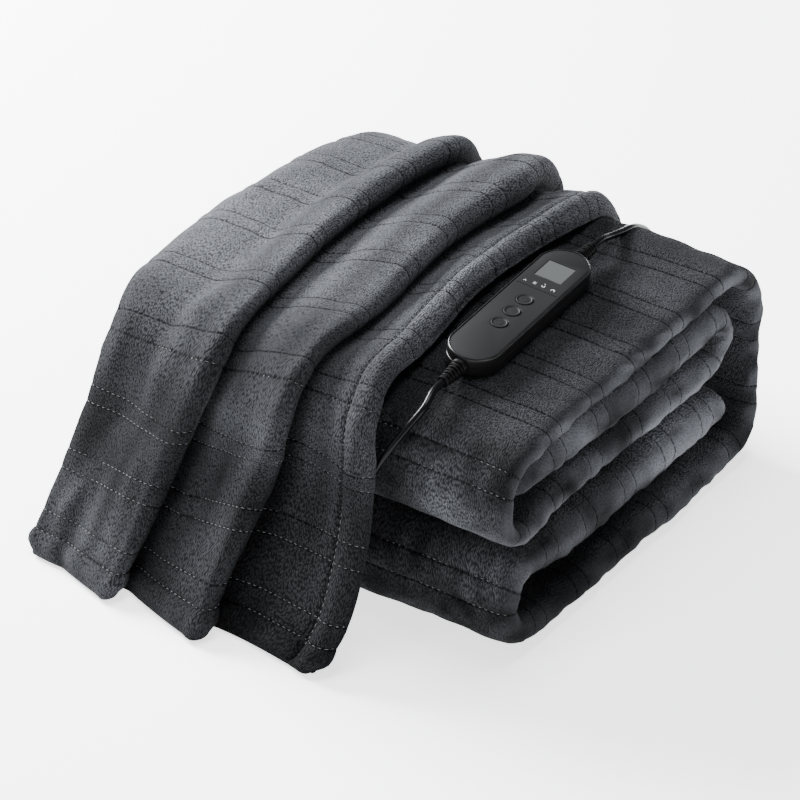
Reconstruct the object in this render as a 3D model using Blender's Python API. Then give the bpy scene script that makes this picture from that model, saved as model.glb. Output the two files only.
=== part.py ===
"""Electric heated throw: a quilted plush blanket folded into a block, with one end pleated over it,
and its push-button controller lying on top with the mains cord run over the back edge.

Metres, +Z up. The tables and sizes below are in millimetres. The origin is the middle of the folded
block's flat underside; +X runs along the front rolls, +Y from the hanging hem to the back of the block.
"""
import math

import bmesh
import bpy
import numpy as np
from mathutils import Euler, Vector

MM = 0.001
GAP = 0.3                   # between pieces that touch

# ---- the folded block -----------------------------------------------------------------------------
BLOCK_HALF_WIDTH = 168.0    # along X, to the outermost folded edge
BLOCK_MIDDLE_X = 4.0        # it reaches further out on the right than on the draped left
BLOCK_CROWN = 4.0           # the top stands this much higher in the middle than at its side edges
BLOCK_TOP = 165.0
FLOOR_PRESS = 1.8           # cloth this close to the floor is pressed flat on it
TURN_PER_RING = 20.0        # degrees between two rings where the cloth turns
NOSE_STEPS = 5              # facets round each folded side edge
NOSE_FLATNESS = 1.15        # the edge's reach over its half thickness

# One strip of plied cloth, back and forth, from the end inside the upper roll to the end of the lower
# fold. y and z: its middle surface; thick: its plies together; back: how far its side edge stands back.
STRIP_SECTION = (
    # y, z, thick, back
    (-134, 122, 24, 9),     # inner flap
    (-88, 124, 32, 7),
    (0, 124, 33, 6),
    (82, 124, 31, 6),
    (106, 121, 23, 7),      # inner turn
    (118, 107, 17, 8),
    (106, 93, 21, 9),
    (80, 90, 27, 10),       # middle layer
    (0, 89, 28, 11),
    (-84, 90, 26, 9),
    (-126, 91, 19, 5),
    (-149, 92, 17, 2),      # upper front roll
    (-161, 101, 15, 2),
    (-164, 115, 14, 2),
    (-160, 131, 14, 3),
    (-149, 142, 15, 4),
    (-130, 147, 16, 4),
    (-94, 150, 17, 4),      # top layer
    (-40, 152, 17, 4),
    (60, 152, 17, 4),
    (104, 151, 16, 4),
    (126, 145, 17, 4),      # back
    (143, 132, 18, 5),
    (153, 115, 18, 6),
    (156, 88, 18, 7),
    (155, 60, 18, 6),
    (151, 36, 20, 4),
    (138, 19, 25, 2),
    (112, 14, 28, 1),       # bottom layer
    (0, 14, 28, 0),
    (-100, 14, 28, 0),
    (-134, 15, 27, 0),
    (-150, 20, 23, 1),      # lower front roll
    (-157, 34, 19, 2),
    (-155, 49, 20, 2),
    (-142, 60, 25, 3),
    (-114, 58, 32, 4),
    (-80, 54, 36, 4),       # lower fold
    (0, 53, 36, 5),
    (84, 54, 35, 5),
    (107, 54, 32, 5),
)

# ---- the stitching --------------------------------------------------------------------------------
STITCH_PITCH = 50.0         # from one double row to the next
STITCH_PAIR = 13.5          # between the two rows of a pair
STITCH_DEPTH = 1.7
TOP_PAIR_Y = -13.0          # a double row crosses the top layer here

# ---- the draped end -------------------------------------------------------------------------------
DRAPE_THICK = 8.0
HEM_ROUNDING = 2.8          # how far the rounded hem stands out past the last full thickness
DRAPE_END_THICK = 5.0       # where it joins the back layer
HEM_TO_FIRST_PAIR = 16.0    # cloth below the middle of the lowest double row

# Lines across the drape, from the hem on the floor to where it joins the block's back. y and z: the
# cloth's middle surface in its valleys. spread: how much of a panel its ridge takes in, 0 on the top to
# 1 at the hem. Then the places across, and the heights over the valleys, of the left side edge, of the
# three pleats' ridges and of the right side edge.
DRAPE_LINES = (
    # y, z, spread, left, rise, ridge 1, rise, ridge 2, rise, ridge 3, rise, right, rise
    (-238, 4.2, 1.0, -168, 0, -95, 10, -12, 13, 56, 4, 75, 0),
    (-220, 29, 1.0, -167, 2, -91, 13, -11, 17, 61, 8, 77, 3),
    (-197, 64, 1.0, -164, 3, -78, 16, -2, 21, 63, 12, 79, 7),
    (-181, 97, 0.9, -156, 2, -69, 18, 3, 24, 57, 15, 74, 11),
    (-176, 124, 0.7, -151, 1, -64, 18, 5, 25, 50, 14, 66, 10),
    (-167, 147, 0.5, -149, 0, -61, 18, 7, 25, 45, 12, 60, 6),
    (-146, 161, 0.3, -152, 0, -57, 17, 9, 24, 44, 10, 60, 1),
    (-98, 166, 0.1, -160, -1, -58, 17, 8, 24, 41, 9, 57, 0),
    (-25, 169, 0.0, -165, -2, -59, 17, 1, 24, 34, 7, 47, 0),
    (45, 169, 0.0, -167, -2, -60, 17, 0, 25, 34, 7, 47, 0),
    (100, 168, 0.0, -166, 0, -66, 17, -2, 25, 37, 7, 52, 0),
    (131, 161, 0.0, -165, 3, -74, 16, -14, 23, 36, 6, 51, -1),
    (154, 142, 0.0, -163, 3, -78, 14, -17, 20, 35, 5, 49, -1),
    (167, 116, 0.0, -160, 1, -80, 11, -18, 15, 33, 4, 47, 0),
    (171, 90, 0.0, -157, 0, -80, 7, -18, 10, 32, 3, 47, 0),
    (167, 64, 0.0, -154, 0, -80, 3, -18, 4, 28, 2, 42, 0),
    (157, 46, 0.0, -152, 0, -80, 0, -18, 0, 28, 0, 40, 0),
)
LEAST_RISE_WIDTH = 24.0     # across a ridge's rising side on the top
RIDGE_DROP = 0.62           # from a ridge across to the next valley, over its height
LEAST_DROP = 8.0
PLEAT_SHAPE = (
    # part of the flat panel, part of the rising side, part of the rise
    (0.45, 0.32, 0.10),
    (1.00, 0.54, 0.44),
    (1.00, 0.78, 0.86),
    (1.00, 1.00, 1.00),
)

# ---- the controller, in its own frame: the rim of its top face at z = 0, +y towards the display -----
CONTROLLER_LENGTH = 148.4
CONTROLLER_WIDTH = 37.8
CONTROLLER_THICK = 16.0
CONTROLLER_PLACE = (86.3, -29.7, 181.0)
CONTROLLER_TURN = (2.4, 5.6, 2.4)      # degrees: nose up, leaning right, about the upright
SHELL_SPLIT = 6.8           # depth of the joint line between the two shells
SHELL_EDGE = 1.8            # rounding of the shells' outer edges
STADIUM_STEPS = 11          # facets round each end
RIM_WIDTH = 1.5
PLATE_THICK = 1.1
PLATE_SINK = 0.35           # the plate lies this far below the rim
DIVIDER_Y = 20.6
DIVIDER_WIDTH = 0.7
DIVIDER_DEPTH = 0.25
DISPLAY_SIZE = (20.6, 20.2)
DISPLAY_Y = 45.0
DISPLAY_THICK = 2.2
BUTTON_NAMES = ("button_upper", "button_middle", "button_lower")
BUTTON_TOP_Y = 5.2
BUTTON_SPACING = 16.0
BUTTON_RADIUS = 5.8
BUTTON_STAND = 0.5          # its raised ring over the plate
BUTTON_HEIGHT = 4.3
BUTTON_TRAVEL = 0.8
BUTTON_FACETS = 24

# ---- cords ----------------------------------------------------------------------------------------
CORD_DIAMETER = 5.0
RELIEF_LENGTH = 21.0
RELIEF_DIAMETERS = (12.0, 8.0)         # at the shell and at the tip
RELIEF_RIBS = 5
RELIEF_GROOVE = 0.9
RELIEF_FACETS = 16
STRAIGHT_OUT = 9.0          # each cord leaves its relief straight for this far

# The lead from the controller's front end: over the front roll, in under the drape, along the floor
# there and into the seam between the two rolls. (x, y, z)
LEAD_ROUTE = (
    (92.5, -149.5, 163.5),
    (87, -162, 152),
    (79.5, -172, 137),
    (71, -177.5, 120),
    (60, -178, 98),
    (48, -180, 72),
    (34, -184, 45),
    (14, -189, 20),
    (-12, -192, 6),
    (-45, -192, 3.2),
    (-80, -191, 3.2),
    (-108, -190, 9),
    (-126, -188, 25),
    (-133, -184, 46),
    (-134, -177, 65),
    (-134, -167, 77),
    (-134, -158, 80),
)

# The mains cord from the other end: over the back edge, down behind and across the floor to its coil.
MAINS_ROUTE = (
    (79.5, 92, 173),
    (79.5, 107, 169.5),
    (78.5, 121, 166),
    (76.5, 135, 159.5),
    (75, 149, 149.5),
    (73.5, 160.5, 134.5),
    (72.5, 167.5, 116),
    (71, 170.5, 90),
    (66, 169.5, 60),
    (57, 170, 34),
    (44, 174.5, 13),
    (26, 180.5, 4),
    (8, 185, 2.6),
    (-8, 186, 2.6),
    (-21.1, 186, 2.6),
)
COIL_CENTRE = (-46.0, 214.0)
COIL_BASE = 1.3             # its tie runs under it
COIL_MID_RADIUS = 28.0
COIL_WIDE = 16.0
COIL_HIGH = 15.5
TIE_WIDTH = 6.0
TIE_THICK = 1.0
TIE_ANGLE = 60.0            # round the coil, from +X
TAIL_ROUTE = (
    (-74, 239.9, 8.6),
    (-73.5, 248, 8.6),
    (-70, 257, 8.6),
    (-62.5, 263.5, 8.6),
    (-53, 266, 8.6),
    (-44.3, 266, 8.6),
)
PLUG_LENGTH = 34.0
PLUG_WIDTH = 25.0
PLUG_HEIGHT = 17.0
PLUG_EDGE = 3.0
PIN_LENGTH = 17.0
PIN_WIDTH = 6.4
PIN_THICK = 1.6
PIN_SPACING = 12.7


# ---- tools ----------------------------------------------------------------------------------------
def clear_scene():
    """Remove whatever objects the file opened with."""
    for item in list(bpy.data.objects):
        bpy.data.objects.remove(item)


def make_material(name, colour, roughness, metallic=0.0):
    """A Principled material of one linear colour."""
    material = bpy.data.materials.new(name)
    material.use_nodes = True
    shader = material.node_tree.nodes["Principled BSDF"]
    shader.inputs["Base Color"].default_value = (*colour, 1.0)
    shader.inputs["Roughness"].default_value = roughness
    shader.inputs["Metallic"].default_value = metallic
    return material


def add_object(name, data, material, parent=None):
    """Link a mesh or a curve as an object with its material."""
    item = bpy.data.objects.new(name, data)
    bpy.context.scene.collection.objects.link(item)
    data.materials.append(material)
    item.parent = parent
    return item


def mesh_of(name, points, faces, sharp_angle=40.0):
    """A closed mesh from points in millimetres, its faces turned outwards and shaded smooth."""
    mesh = bpy.data.meshes.new(name)
    mesh.from_pydata([tuple(MM * value for value in point) for point in points], [], faces)
    shape = bmesh.new()
    shape.from_mesh(mesh)
    bmesh.ops.recalc_face_normals(shape, faces=shape.faces)
    shape.to_mesh(mesh)
    shape.free()
    mesh.shade_smooth()
    mesh.set_sharp_from_angle(angle=math.radians(sharp_angle))
    return mesh


def side_faces(ring_count, ring_size):
    """Quads that join each closed ring of points to the next."""
    faces = []
    for ring in range(ring_count - 1):
        for k in range(ring_size):
            after = (k + 1) % ring_size
            base = ring * ring_size
            faces.append((base + k, base + after, base + ring_size + after, base + ring_size + k))
    return faces


def loft_mesh(name, rings, sharp_angle=40.0):
    """A closed mesh through rings of points, with a flat face at each end."""
    size = len(rings[0])
    last = (len(rings) - 1) * size
    faces = side_faces(len(rings), size)
    faces.append(tuple(range(size)))
    faces.append(tuple(last + k for k in range(size)))
    return mesh_of(name, [point for ring in rings for point in ring], faces, sharp_angle)


def smooth_curve(rows, places, spacing):
    """Rows about `spacing` apart on a smooth curve through the rows, whose first columns are places."""
    rows = np.array(rows, dtype=float)
    chords = np.linalg.norm(np.diff(rows[:, :places], axis=0), axis=1)
    along = np.concatenate(([0.0], np.cumsum(chords)))
    slopes = np.gradient(rows, along, axis=0)
    samples = []
    for i, chord in enumerate(chords):
        steps = max(1, round(chord / spacing))
        for t in np.arange(steps) / steps:
            start = rows[i] * (1 + 2 * t) * (1 - t) ** 2 + slopes[i] * chord * t * (1 - t) ** 2
            end = rows[i + 1] * t * t * (3 - 2 * t) + slopes[i + 1] * chord * t * t * (t - 1)
            samples.append(start + end)
    samples.append(rows[-1])
    return np.array(samples)


def lengths_along(samples):
    """Distance of each sample from the first, by its first two columns."""
    steps = np.linalg.norm(np.diff(samples[:, :2], axis=0), axis=1)
    return np.concatenate(([0.0], np.cumsum(steps)))


# ---- stitched cloth -------------------------------------------------------------------------------
def stitch_depth(distance, first_pair):
    """How far the rows of stitching pull the cloth in at a distance along it."""
    from_pair = (distance - first_pair + STITCH_PITCH / 2) % STITCH_PITCH - STITCH_PITCH / 2
    from_row = abs(abs(from_pair) - STITCH_PAIR / 2)
    return STITCH_DEPTH * math.exp(-((from_row / 3.0) ** 2))


def ring_places(samples, along, first_pair):
    """Distances along the cloth for its rings: each row of stitching, the swells between, and turns."""
    places = [0.0]
    pair = first_pair - math.ceil(first_pair / STITCH_PITCH) * STITCH_PITCH
    while pair < along[-1] + STITCH_PITCH:
        places += [pair - STITCH_PAIR / 2, pair, pair + STITCH_PAIR / 2, pair + STITCH_PITCH / 2]
        pair += STITCH_PITCH
    places = [place for place in places if 0.0 <= place < along[-1] - 3.0] + [along[-1]]
    steps = np.diff(samples[:, :2], axis=0)
    turning = np.degrees(np.unwrap(np.arctan2(steps[:, 1], steps[:, 0])))
    turned = np.concatenate(([0.0], np.cumsum(np.abs(np.diff(turning))), [0.0]))
    turned[-1] = turned[-2]
    result = []
    for start, end in zip(places, places[1:]):
        turn = np.interp(end, along, turned) - np.interp(start, along, turned)
        pieces = 1 + int(turn / TURN_PER_RING)
        result += [start + (end - start) * k / pieces for k in range(pieces)]
    return result + [along[-1]]


def row_at(samples, along, distance):
    """The curve's row at a distance along it, and its direction there."""
    row = np.array([np.interp(distance, along, column) for column in samples.T])
    before = [np.interp(distance - 1.5, along, samples[:, k]) for k in (0, 1)]
    after = [np.interp(distance + 1.5, along, samples[:, k]) for k in (0, 1)]
    direction = np.subtract(after, before)
    return row, direction / np.linalg.norm(direction)


def press_flat(point):
    """Cloth that nearly reaches the floor lies flat on it."""
    x, y, z = point
    return (x, y, z if z > FLOOR_PRESS else 0.0)


def strip_ring(centre, normal, half_thick, half_width):
    """One section of the strip: flat faces between two rounded side edges, crowned with its height."""
    reach = NOSE_FLATNESS * half_thick
    angles = [math.pi * (0.5 - k / NOSE_STEPS) for k in range(NOSE_STEPS + 1)]
    nose = [(half_width - reach * (1 - math.cos(angle)), half_thick * math.sin(angle)) for angle in angles]
    outline = nose + [(0.0, -half_thick)] + [(-x, n) for x, n in reversed(nose)] + [(0.0, half_thick)]
    ring = []
    for x, n in outline:
        y = centre[0] + n * normal[0]
        z = centre[1] + n * normal[1]
        crown = BLOCK_CROWN * (1 - (x / BLOCK_HALF_WIDTH) ** 2) * z / BLOCK_TOP
        ring.append(press_flat((BLOCK_MIDDLE_X + x, y, z + crown)))
    return ring


def folded_strip(material):
    """The whole block: one strip of plied cloth through its rolls and folds, both ends rounded."""
    samples = smooth_curve(STRIP_SECTION, 2, 1.0)
    along = lengths_along(samples)
    on_top = [i for i, row in enumerate(samples) if row[1] > BLOCK_TOP - 25 and row[0] > TOP_PAIR_Y]
    first_pair = along[on_top[0]]
    rings = []
    for place in ring_places(samples, along, first_pair):
        (y, z, thick, back), (dy, dz) = row_at(samples, along, place)
        depth = stitch_depth(place, first_pair)
        sizes = (thick / 2 - depth, BLOCK_HALF_WIDTH - back - depth)
        rings.append(((y, z), (dy, dz), sizes))
    loops = [strip_ring(centre, (-dz, dy), *sizes) for centre, (dy, dz), sizes in rings]
    start_cap = rounded_end(rings[0], -1)
    end_cap = rounded_end(rings[-1], 1)
    return add_object("blanket", loft_mesh("blanket", start_cap[::-1] + loops + end_cap), material)


def rounded_end(last_ring, sign):
    """Shrinking rings that round off an end of the strip."""
    (y, z), (dy, dz), (half_thick, half_width) = last_ring
    loops = []
    for degrees in (35, 65, 82):
        out = sign * half_thick * math.sin(math.radians(degrees))
        thin = half_thick * math.cos(math.radians(degrees))
        centre = (y + out * dy, z + out * dz)
        loops.append(strip_ring(centre, (-dz, dy), thin, half_width - half_thick + thin))
    return loops


def pleat_outline(row):
    """Control points (x, height) across the drape, from its left side edge to its right one."""
    spread, left, left_rise, *ridges, right, right_rise = row
    outline = [(left, left_rise)]
    start, start_rise = left, left_rise
    for ridge, rise in zip(ridges[0::2], ridges[1::2]):
        width = ridge - start
        rising = min(width, LEAST_RISE_WIDTH + (width - LEAST_RISE_WIDTH) * spread)
        drop = max(LEAST_DROP, RIDGE_DROP * rise)
        flat = width - rising
        for part_of_flat, part_of_rising, part_of_rise in PLEAT_SHAPE:
            x = start + part_of_flat * flat + part_of_rising * rising
            outline.append((x, start_rise + part_of_rise * (rise - start_rise)))
        outline += [(ridge + 0.5 * drop, 0.52 * rise), (ridge + drop, 0.0)]
        start, start_rise = ridge + drop, 0.0
    outline[-1] = (right, right_rise)
    last_ridge, last_rise = ridges[-2:]
    outline[-2] = (last_ridge + 0.55 * (right - last_ridge), right_rise + 0.7 * (last_rise - right_rise))
    return outline


def drape_surface():
    """The drape's middle surface as rows of points, hem first, and each row's place along the cloth."""
    samples = smooth_curve(DRAPE_LINES, 2, 1.0)
    along = lengths_along(samples)
    places = ring_places(samples, along, HEM_TO_FIRST_PAIR)
    surface = []
    for place in places:
        row, (dy, dz) = row_at(samples, along, place)
        outline = pleat_outline(row[2:])
        surface.append([(x, row[0] - dz * rise, row[1] + dy * rise) for x, rise in outline])
    return np.array(surface), places


def unit_rows(vectors):
    """The vectors scaled to length one."""
    return vectors / np.linalg.norm(vectors, axis=-1, keepdims=True)


def drape_ring(middle, outward, across, thick, depth):
    """One closed section of the drape: rounded left edge, lower face, rounded right edge, upper face."""
    lower = middle - outward * thick / 2
    upper = middle + outward * (thick / 2 - depth)
    left = middle[0] - across[0] * HEM_ROUNDING
    right = middle[-1] + across[-1] * HEM_ROUNDING
    ring = [left, *lower, right, *upper[::-1]]
    return [press_flat(point) for point in ring]


def draped_end():
    """The pleated end of the blanket as a closed sheet, for the union with the block."""
    surface, places = drape_surface()
    across = unit_rows(np.gradient(surface, axis=1))
    onward = unit_rows(np.gradient(surface, axis=0))
    outward = unit_rows(np.cross(across, onward))
    rings = []
    for i, place in enumerate(places):
        joining = max(0.0, (place - places[-1] + 30.0) / 30.0)
        thick = DRAPE_THICK + (DRAPE_END_THICK - DRAPE_THICK) * joining
        depth = stitch_depth(place, HEM_TO_FIRST_PAIR)
        rings.append(drape_ring(surface[i], outward[i], across[i], thick, depth))
    hem = surface[0] - onward[0] * HEM_ROUNDING
    rings.insert(0, drape_ring(hem, outward[0], across[0], 0.5 * DRAPE_THICK, 0.0))
    size = len(rings[0])
    last = (len(rings) - 1) * size
    faces = side_faces(len(rings), size) + strip_cap(0, size) + strip_cap(last, size)
    mesh = mesh_of("draped_end", [point for ring in rings for point in ring], faces)
    item = bpy.data.objects.new("draped_end", mesh)
    bpy.context.scene.collection.objects.link(item)
    item.hide_render = True
    item.display_type = "WIRE"
    return item


def strip_cap(first, size):
    """Faces that close a thin wavy ring, each joining its lower side to its upper one."""
    half = size // 2
    faces = [(first, first + 1, first + size - 1), (first + half - 1, first + half, first + half + 1)]
    for k in range(1, half - 1):
        faces.append((first + k, first + k + 1, first + size - k - 1, first + size - k))
    return faces


def make_blanket(material):
    """The folded block and the draped end as one solid."""
    blanket = folded_strip(material)
    join = blanket.modifiers.new("join", "BOOLEAN")
    join.operation = "UNION"
    join.solver = "EXACT"
    join.object = draped_end()


# ---- the controller -------------------------------------------------------------------------------
def stadium(inset, z):
    """A ring of points round the controller's outline, drawn in by inset."""
    radius = CONTROLLER_WIDTH / 2 - inset
    straight = CONTROLLER_LENGTH / 2 - CONTROLLER_WIDTH / 2
    ring = []
    for end in (1, -1):
        for k in range(STADIUM_STEPS + 1):
            angle = math.pi * k / STADIUM_STEPS
            ring.append((end * radius * math.cos(angle), end * (straight + radius * math.sin(angle)), z))
    return ring


def disc(radius, y, z, facets=BUTTON_FACETS):
    """A ring of points round an upright axis on the controller's centre line."""
    turn = 2 * math.pi / facets
    return [(radius * math.cos(turn * k), y + radius * math.sin(turn * k), z) for k in range(facets)]


def box_mesh(name, size, centre, edge):
    """A box with its edges rounded."""
    mesh = bpy.data.meshes.new(name)
    shape = bmesh.new()
    bmesh.ops.create_cube(shape, size=1.0)
    for corner in shape.verts:
        corner.co = Vector([MM * (centre[k] + size[k] * corner.co[k]) for k in range(3)])
    if edge:
        bmesh.ops.bevel(shape, geom=list(shape.edges), offset=MM * edge, segments=2, affect="EDGES")
    shape.to_mesh(mesh)
    shape.free()
    mesh.shade_smooth()
    mesh.set_sharp_from_angle(angle=math.radians(40))
    return mesh


def cut(item, cutter_mesh, parent):
    """Take a cutter's shape out of an item."""
    cutter = bpy.data.objects.new("cutter_" + cutter_mesh.name, cutter_mesh)
    bpy.context.scene.collection.objects.link(cutter)
    cutter.parent = parent
    cutter.hide_render = True
    cutter.display_type = "WIRE"
    modifier = item.modifiers.new(cutter_mesh.name, "BOOLEAN")
    modifier.operation = "DIFFERENCE"
    modifier.solver = "EXACT"
    modifier.object = cutter


def controller_frame():
    """The empty that every piece of the controller is placed by."""
    frame = bpy.data.objects.new("controller", None)
    bpy.context.scene.collection.objects.link(frame)
    frame.location = [MM * value for value in CONTROLLER_PLACE]
    frame.rotation_mode = "YXZ"
    frame.rotation_euler = [math.radians(angle) for angle in CONTROLLER_TURN]
    return frame


def button_y(index):
    """Where a button stands along the controller."""
    return BUTTON_TOP_Y - index * BUTTON_SPACING


def well_meshes(prefix, floor, button_floor, display_floor):
    """Cutters for the display's and the buttons' wells, down to their floors."""
    width, height = (size + 2 * GAP for size in DISPLAY_SIZE)
    depth = 5.0 - display_floor
    centre = (0.0, DISPLAY_Y, display_floor + depth / 2)
    wells = [box_mesh(prefix + "_display", (width, height, depth), centre, 0.0)]
    for index, name in enumerate(BUTTON_NAMES):
        rings = [disc(BUTTON_RADIUS + GAP, button_y(index), z) for z in (button_floor, 5.0)]
        wells.append(loft_mesh(prefix + "_" + name, rings))
    return wells


def make_shells(frame, material):
    """The lower and upper shells, which meet at the joint line; the upper one is cut for what it holds."""
    bottom = -CONTROLLER_THICK
    lower = [
        stadium(2.6, bottom),
        stadium(1.2, bottom + 0.5),
        stadium(0.5, bottom + SHELL_EDGE),
        stadium(0.0, -SHELL_SPLIT - GAP),
    ]
    upper = [
        stadium(0.0, -SHELL_SPLIT),
        stadium(0.1, -SHELL_EDGE),
        stadium(0.35, -0.5),
        stadium(0.9, 0.0),
    ]
    add_object("controller_lower_shell", loft_mesh("lower_shell", lower), material, frame)
    shell = add_object("controller_upper_shell", loft_mesh("upper_shell", upper), material, frame)
    plate_floor = -PLATE_SINK - PLATE_THICK - GAP
    recess = [stadium(RIM_WIDTH, plate_floor), stadium(RIM_WIDTH, 5.0)]
    cut(shell, loft_mesh("recess", recess), frame)
    button_floor = BUTTON_STAND - PLATE_SINK - BUTTON_HEIGHT - BUTTON_TRAVEL - GAP
    for well in well_meshes("shell", plate_floor, button_floor, -PLATE_SINK - DISPLAY_THICK - GAP):
        cut(shell, well, frame)


def make_plate(frame, material):
    """The dark face plate inside the rim, cut for the display, the buttons and its dividing groove."""
    top = -PLATE_SINK
    rings = [stadium(RIM_WIDTH + GAP, top - PLATE_THICK), stadium(RIM_WIDTH + GAP, top)]
    plate = add_object("face_plate", loft_mesh("face_plate", rings), material, frame)
    for well in well_meshes("plate", top - 5.0, top - 5.0, top - 5.0):
        cut(plate, well, frame)
    size = (CONTROLLER_WIDTH - 2 * RIM_WIDTH - 3.0, DIVIDER_WIDTH, 2.0)
    groove = box_mesh("divider", size, (0.0, DIVIDER_Y, top - DIVIDER_DEPTH + 1.0), 0.0)
    cut(plate, groove, frame)


def make_display(frame, material):
    """The display's window, flush with the plate."""
    size = (*DISPLAY_SIZE, DISPLAY_THICK)
    centre = (0.0, DISPLAY_Y, -PLATE_SINK - DISPLAY_THICK / 2)
    add_object("display_window", box_mesh("display_window", size, centre, 0.0), material, frame)


def make_buttons(frame, material):
    """Three push buttons, each with a raised ring; the objects stand on the axes they move along."""
    top = -PLATE_SINK + BUTTON_STAND
    profile = (
        (BUTTON_RADIUS - 0.3, -BUTTON_HEIGHT),
        (BUTTON_RADIUS, 0.3 - BUTTON_HEIGHT),
        (BUTTON_RADIUS, -0.3),
        (BUTTON_RADIUS - 0.35, 0.0),
        (BUTTON_RADIUS - 0.9, 0.0),
        (BUTTON_RADIUS - 1.3, -0.35),
    )
    for index, name in enumerate(BUTTON_NAMES):
        rings = [disc(radius, 0.0, z) for radius, z in profile]
        button = add_object(name, loft_mesh(name, rings), material, frame)
        button.location = (0.0, MM * button_y(index), MM * top)


def make_relief(name, end, frame, material):
    """A tapered, ribbed strain relief on one end of the controller; end is 1 or -1 along its y."""
    start, tip = (diameter / 2 for diameter in RELIEF_DIAMETERS)
    stations = [(0.0, 0.0), (0.15, 0.0)]
    for rib in range(RELIEF_RIBS):
        place = 0.2 + 0.78 * rib / RELIEF_RIBS
        width = 0.78 / RELIEF_RIBS
        stations += [(place, RELIEF_GROOVE), (place + 0.3 * width, RELIEF_GROOVE)]
        stations += [(place + 0.4 * width, 0.0), (place + 0.9 * width, 0.0)]
    stations.append((1.0, 0.3))
    rings = []
    for place, sunk in stations:
        radius = start + (tip - start) * place - sunk
        y = end * (CONTROLLER_LENGTH / 2 + GAP + RELIEF_LENGTH * place)
        rings.append([(x, y, z - CONTROLLER_THICK / 2) for x, z, _ in disc(radius, 0.0, 0.0, RELIEF_FACETS)])
    add_object(name, loft_mesh(name, rings), material, frame)


def relief_tip(end, beyond=0.0):
    """A point past the tip of a strain relief, in world millimetres."""
    y = end * (CONTROLLER_LENGTH / 2 + 2 * GAP + RELIEF_LENGTH + beyond)
    turn = Euler([math.radians(angle) for angle in CONTROLLER_TURN], "YXZ").to_matrix()
    return tuple(turn @ Vector((0.0, y, -CONTROLLER_THICK / 2)) + Vector(CONTROLLER_PLACE))


# ---- cords ----------------------------------------------------------------------------------------
def make_cord(name, route, material):
    """A round cord on a smooth curve through its route."""
    curve = bpy.data.curves.new(name, "CURVE")
    curve.dimensions = "3D"
    curve.bevel_depth = MM * CORD_DIAMETER / 2
    curve.bevel_resolution = 2
    curve.use_fill_caps = True
    places = smooth_curve(route, 3, 2.5 * CORD_DIAMETER)
    spline = curve.splines.new("POLY")
    spline.points.add(len(places) - 1)
    for point, place in zip(spline.points, places):
        point.co = (*(MM * value for value in place), 1.0)
    add_object(name, curve, material)


def make_coil(material):
    """The outer shape of the coiled length: a turned ring lying on its tie."""
    half_wide, half_high = COIL_WIDE / 2, COIL_HIGH / 2
    section = []
    for k in range(12):
        angle = 2 * math.pi * k / 12
        out = math.copysign(abs(math.cos(angle)) ** 0.6, math.cos(angle)) * half_wide
        up = math.copysign(abs(math.sin(angle)) ** 0.6, math.sin(angle)) * half_high
        section.append((COIL_MID_RADIUS + out, COIL_BASE + half_high + up))
    facets = 36
    points = []
    for step in range(facets):
        angle = 2 * math.pi * step / facets
        for radius, z in section:
            x = COIL_CENTRE[0] + radius * math.cos(angle)
            points.append((x, COIL_CENTRE[1] + radius * math.sin(angle), z))
    size = len(section)
    total = facets * size
    faces = [tuple(index % total for index in face) for face in side_faces(facets + 1, size)]
    add_object("mains_coil", mesh_of("mains_coil", points, faces), material)


def make_tie(material):
    """A strap round the coil's section."""
    inner_wide = COIL_WIDE / 2 + 2 * GAP
    inner_high = COIL_HIGH / 2 + GAP
    rings = []
    for along, extra in ((-0.5, 0.0), (-0.5, TIE_THICK), (0.5, TIE_THICK), (0.5, 0.0)):
        ring = []
        for out, up in ((1, 1), (-1, 1), (-1, -1), (1, -1)):
            radius = COIL_MID_RADIUS + out * (inner_wide + extra)
            ring.append((radius, along * TIE_WIDTH, up * (inner_high + extra)))
        rings.append(ring)
    faces = [tuple(index % 16 for index in face) for face in side_faces(5, 4)]
    tie = add_object("coil_tie", mesh_of("coil_tie", [p for ring in rings for p in ring], faces), material)
    tie.location = (MM * COIL_CENTRE[0], MM * COIL_CENTRE[1], MM * (COIL_BASE + COIL_HIGH / 2))
    tie.rotation_euler.z = math.radians(TIE_ANGLE)


def make_plug(body_material, pin_material):
    """A plain two-pin plug lying beyond the coil, its pins towards +X."""
    start = TAIL_ROUTE[-1][0] + GAP
    y = TAIL_ROUTE[-1][1]
    middle = PLUG_HEIGHT / 2
    size = (PLUG_LENGTH, PLUG_WIDTH, PLUG_HEIGHT)
    body = box_mesh("plug_body", size, (start + PLUG_LENGTH / 2, y, middle), PLUG_EDGE)
    add_object("plug_body", body, body_material)
    for name, side in (("plug_pin_left", 1), ("plug_pin_right", -1)):
        centre = (start + PLUG_LENGTH + GAP + PIN_LENGTH / 2, y + side * PIN_SPACING / 2, middle)
        pin = box_mesh(name, (PIN_LENGTH, PIN_THICK, PIN_WIDTH), centre, 0.3)
        add_object(name, pin, pin_material)


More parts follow.
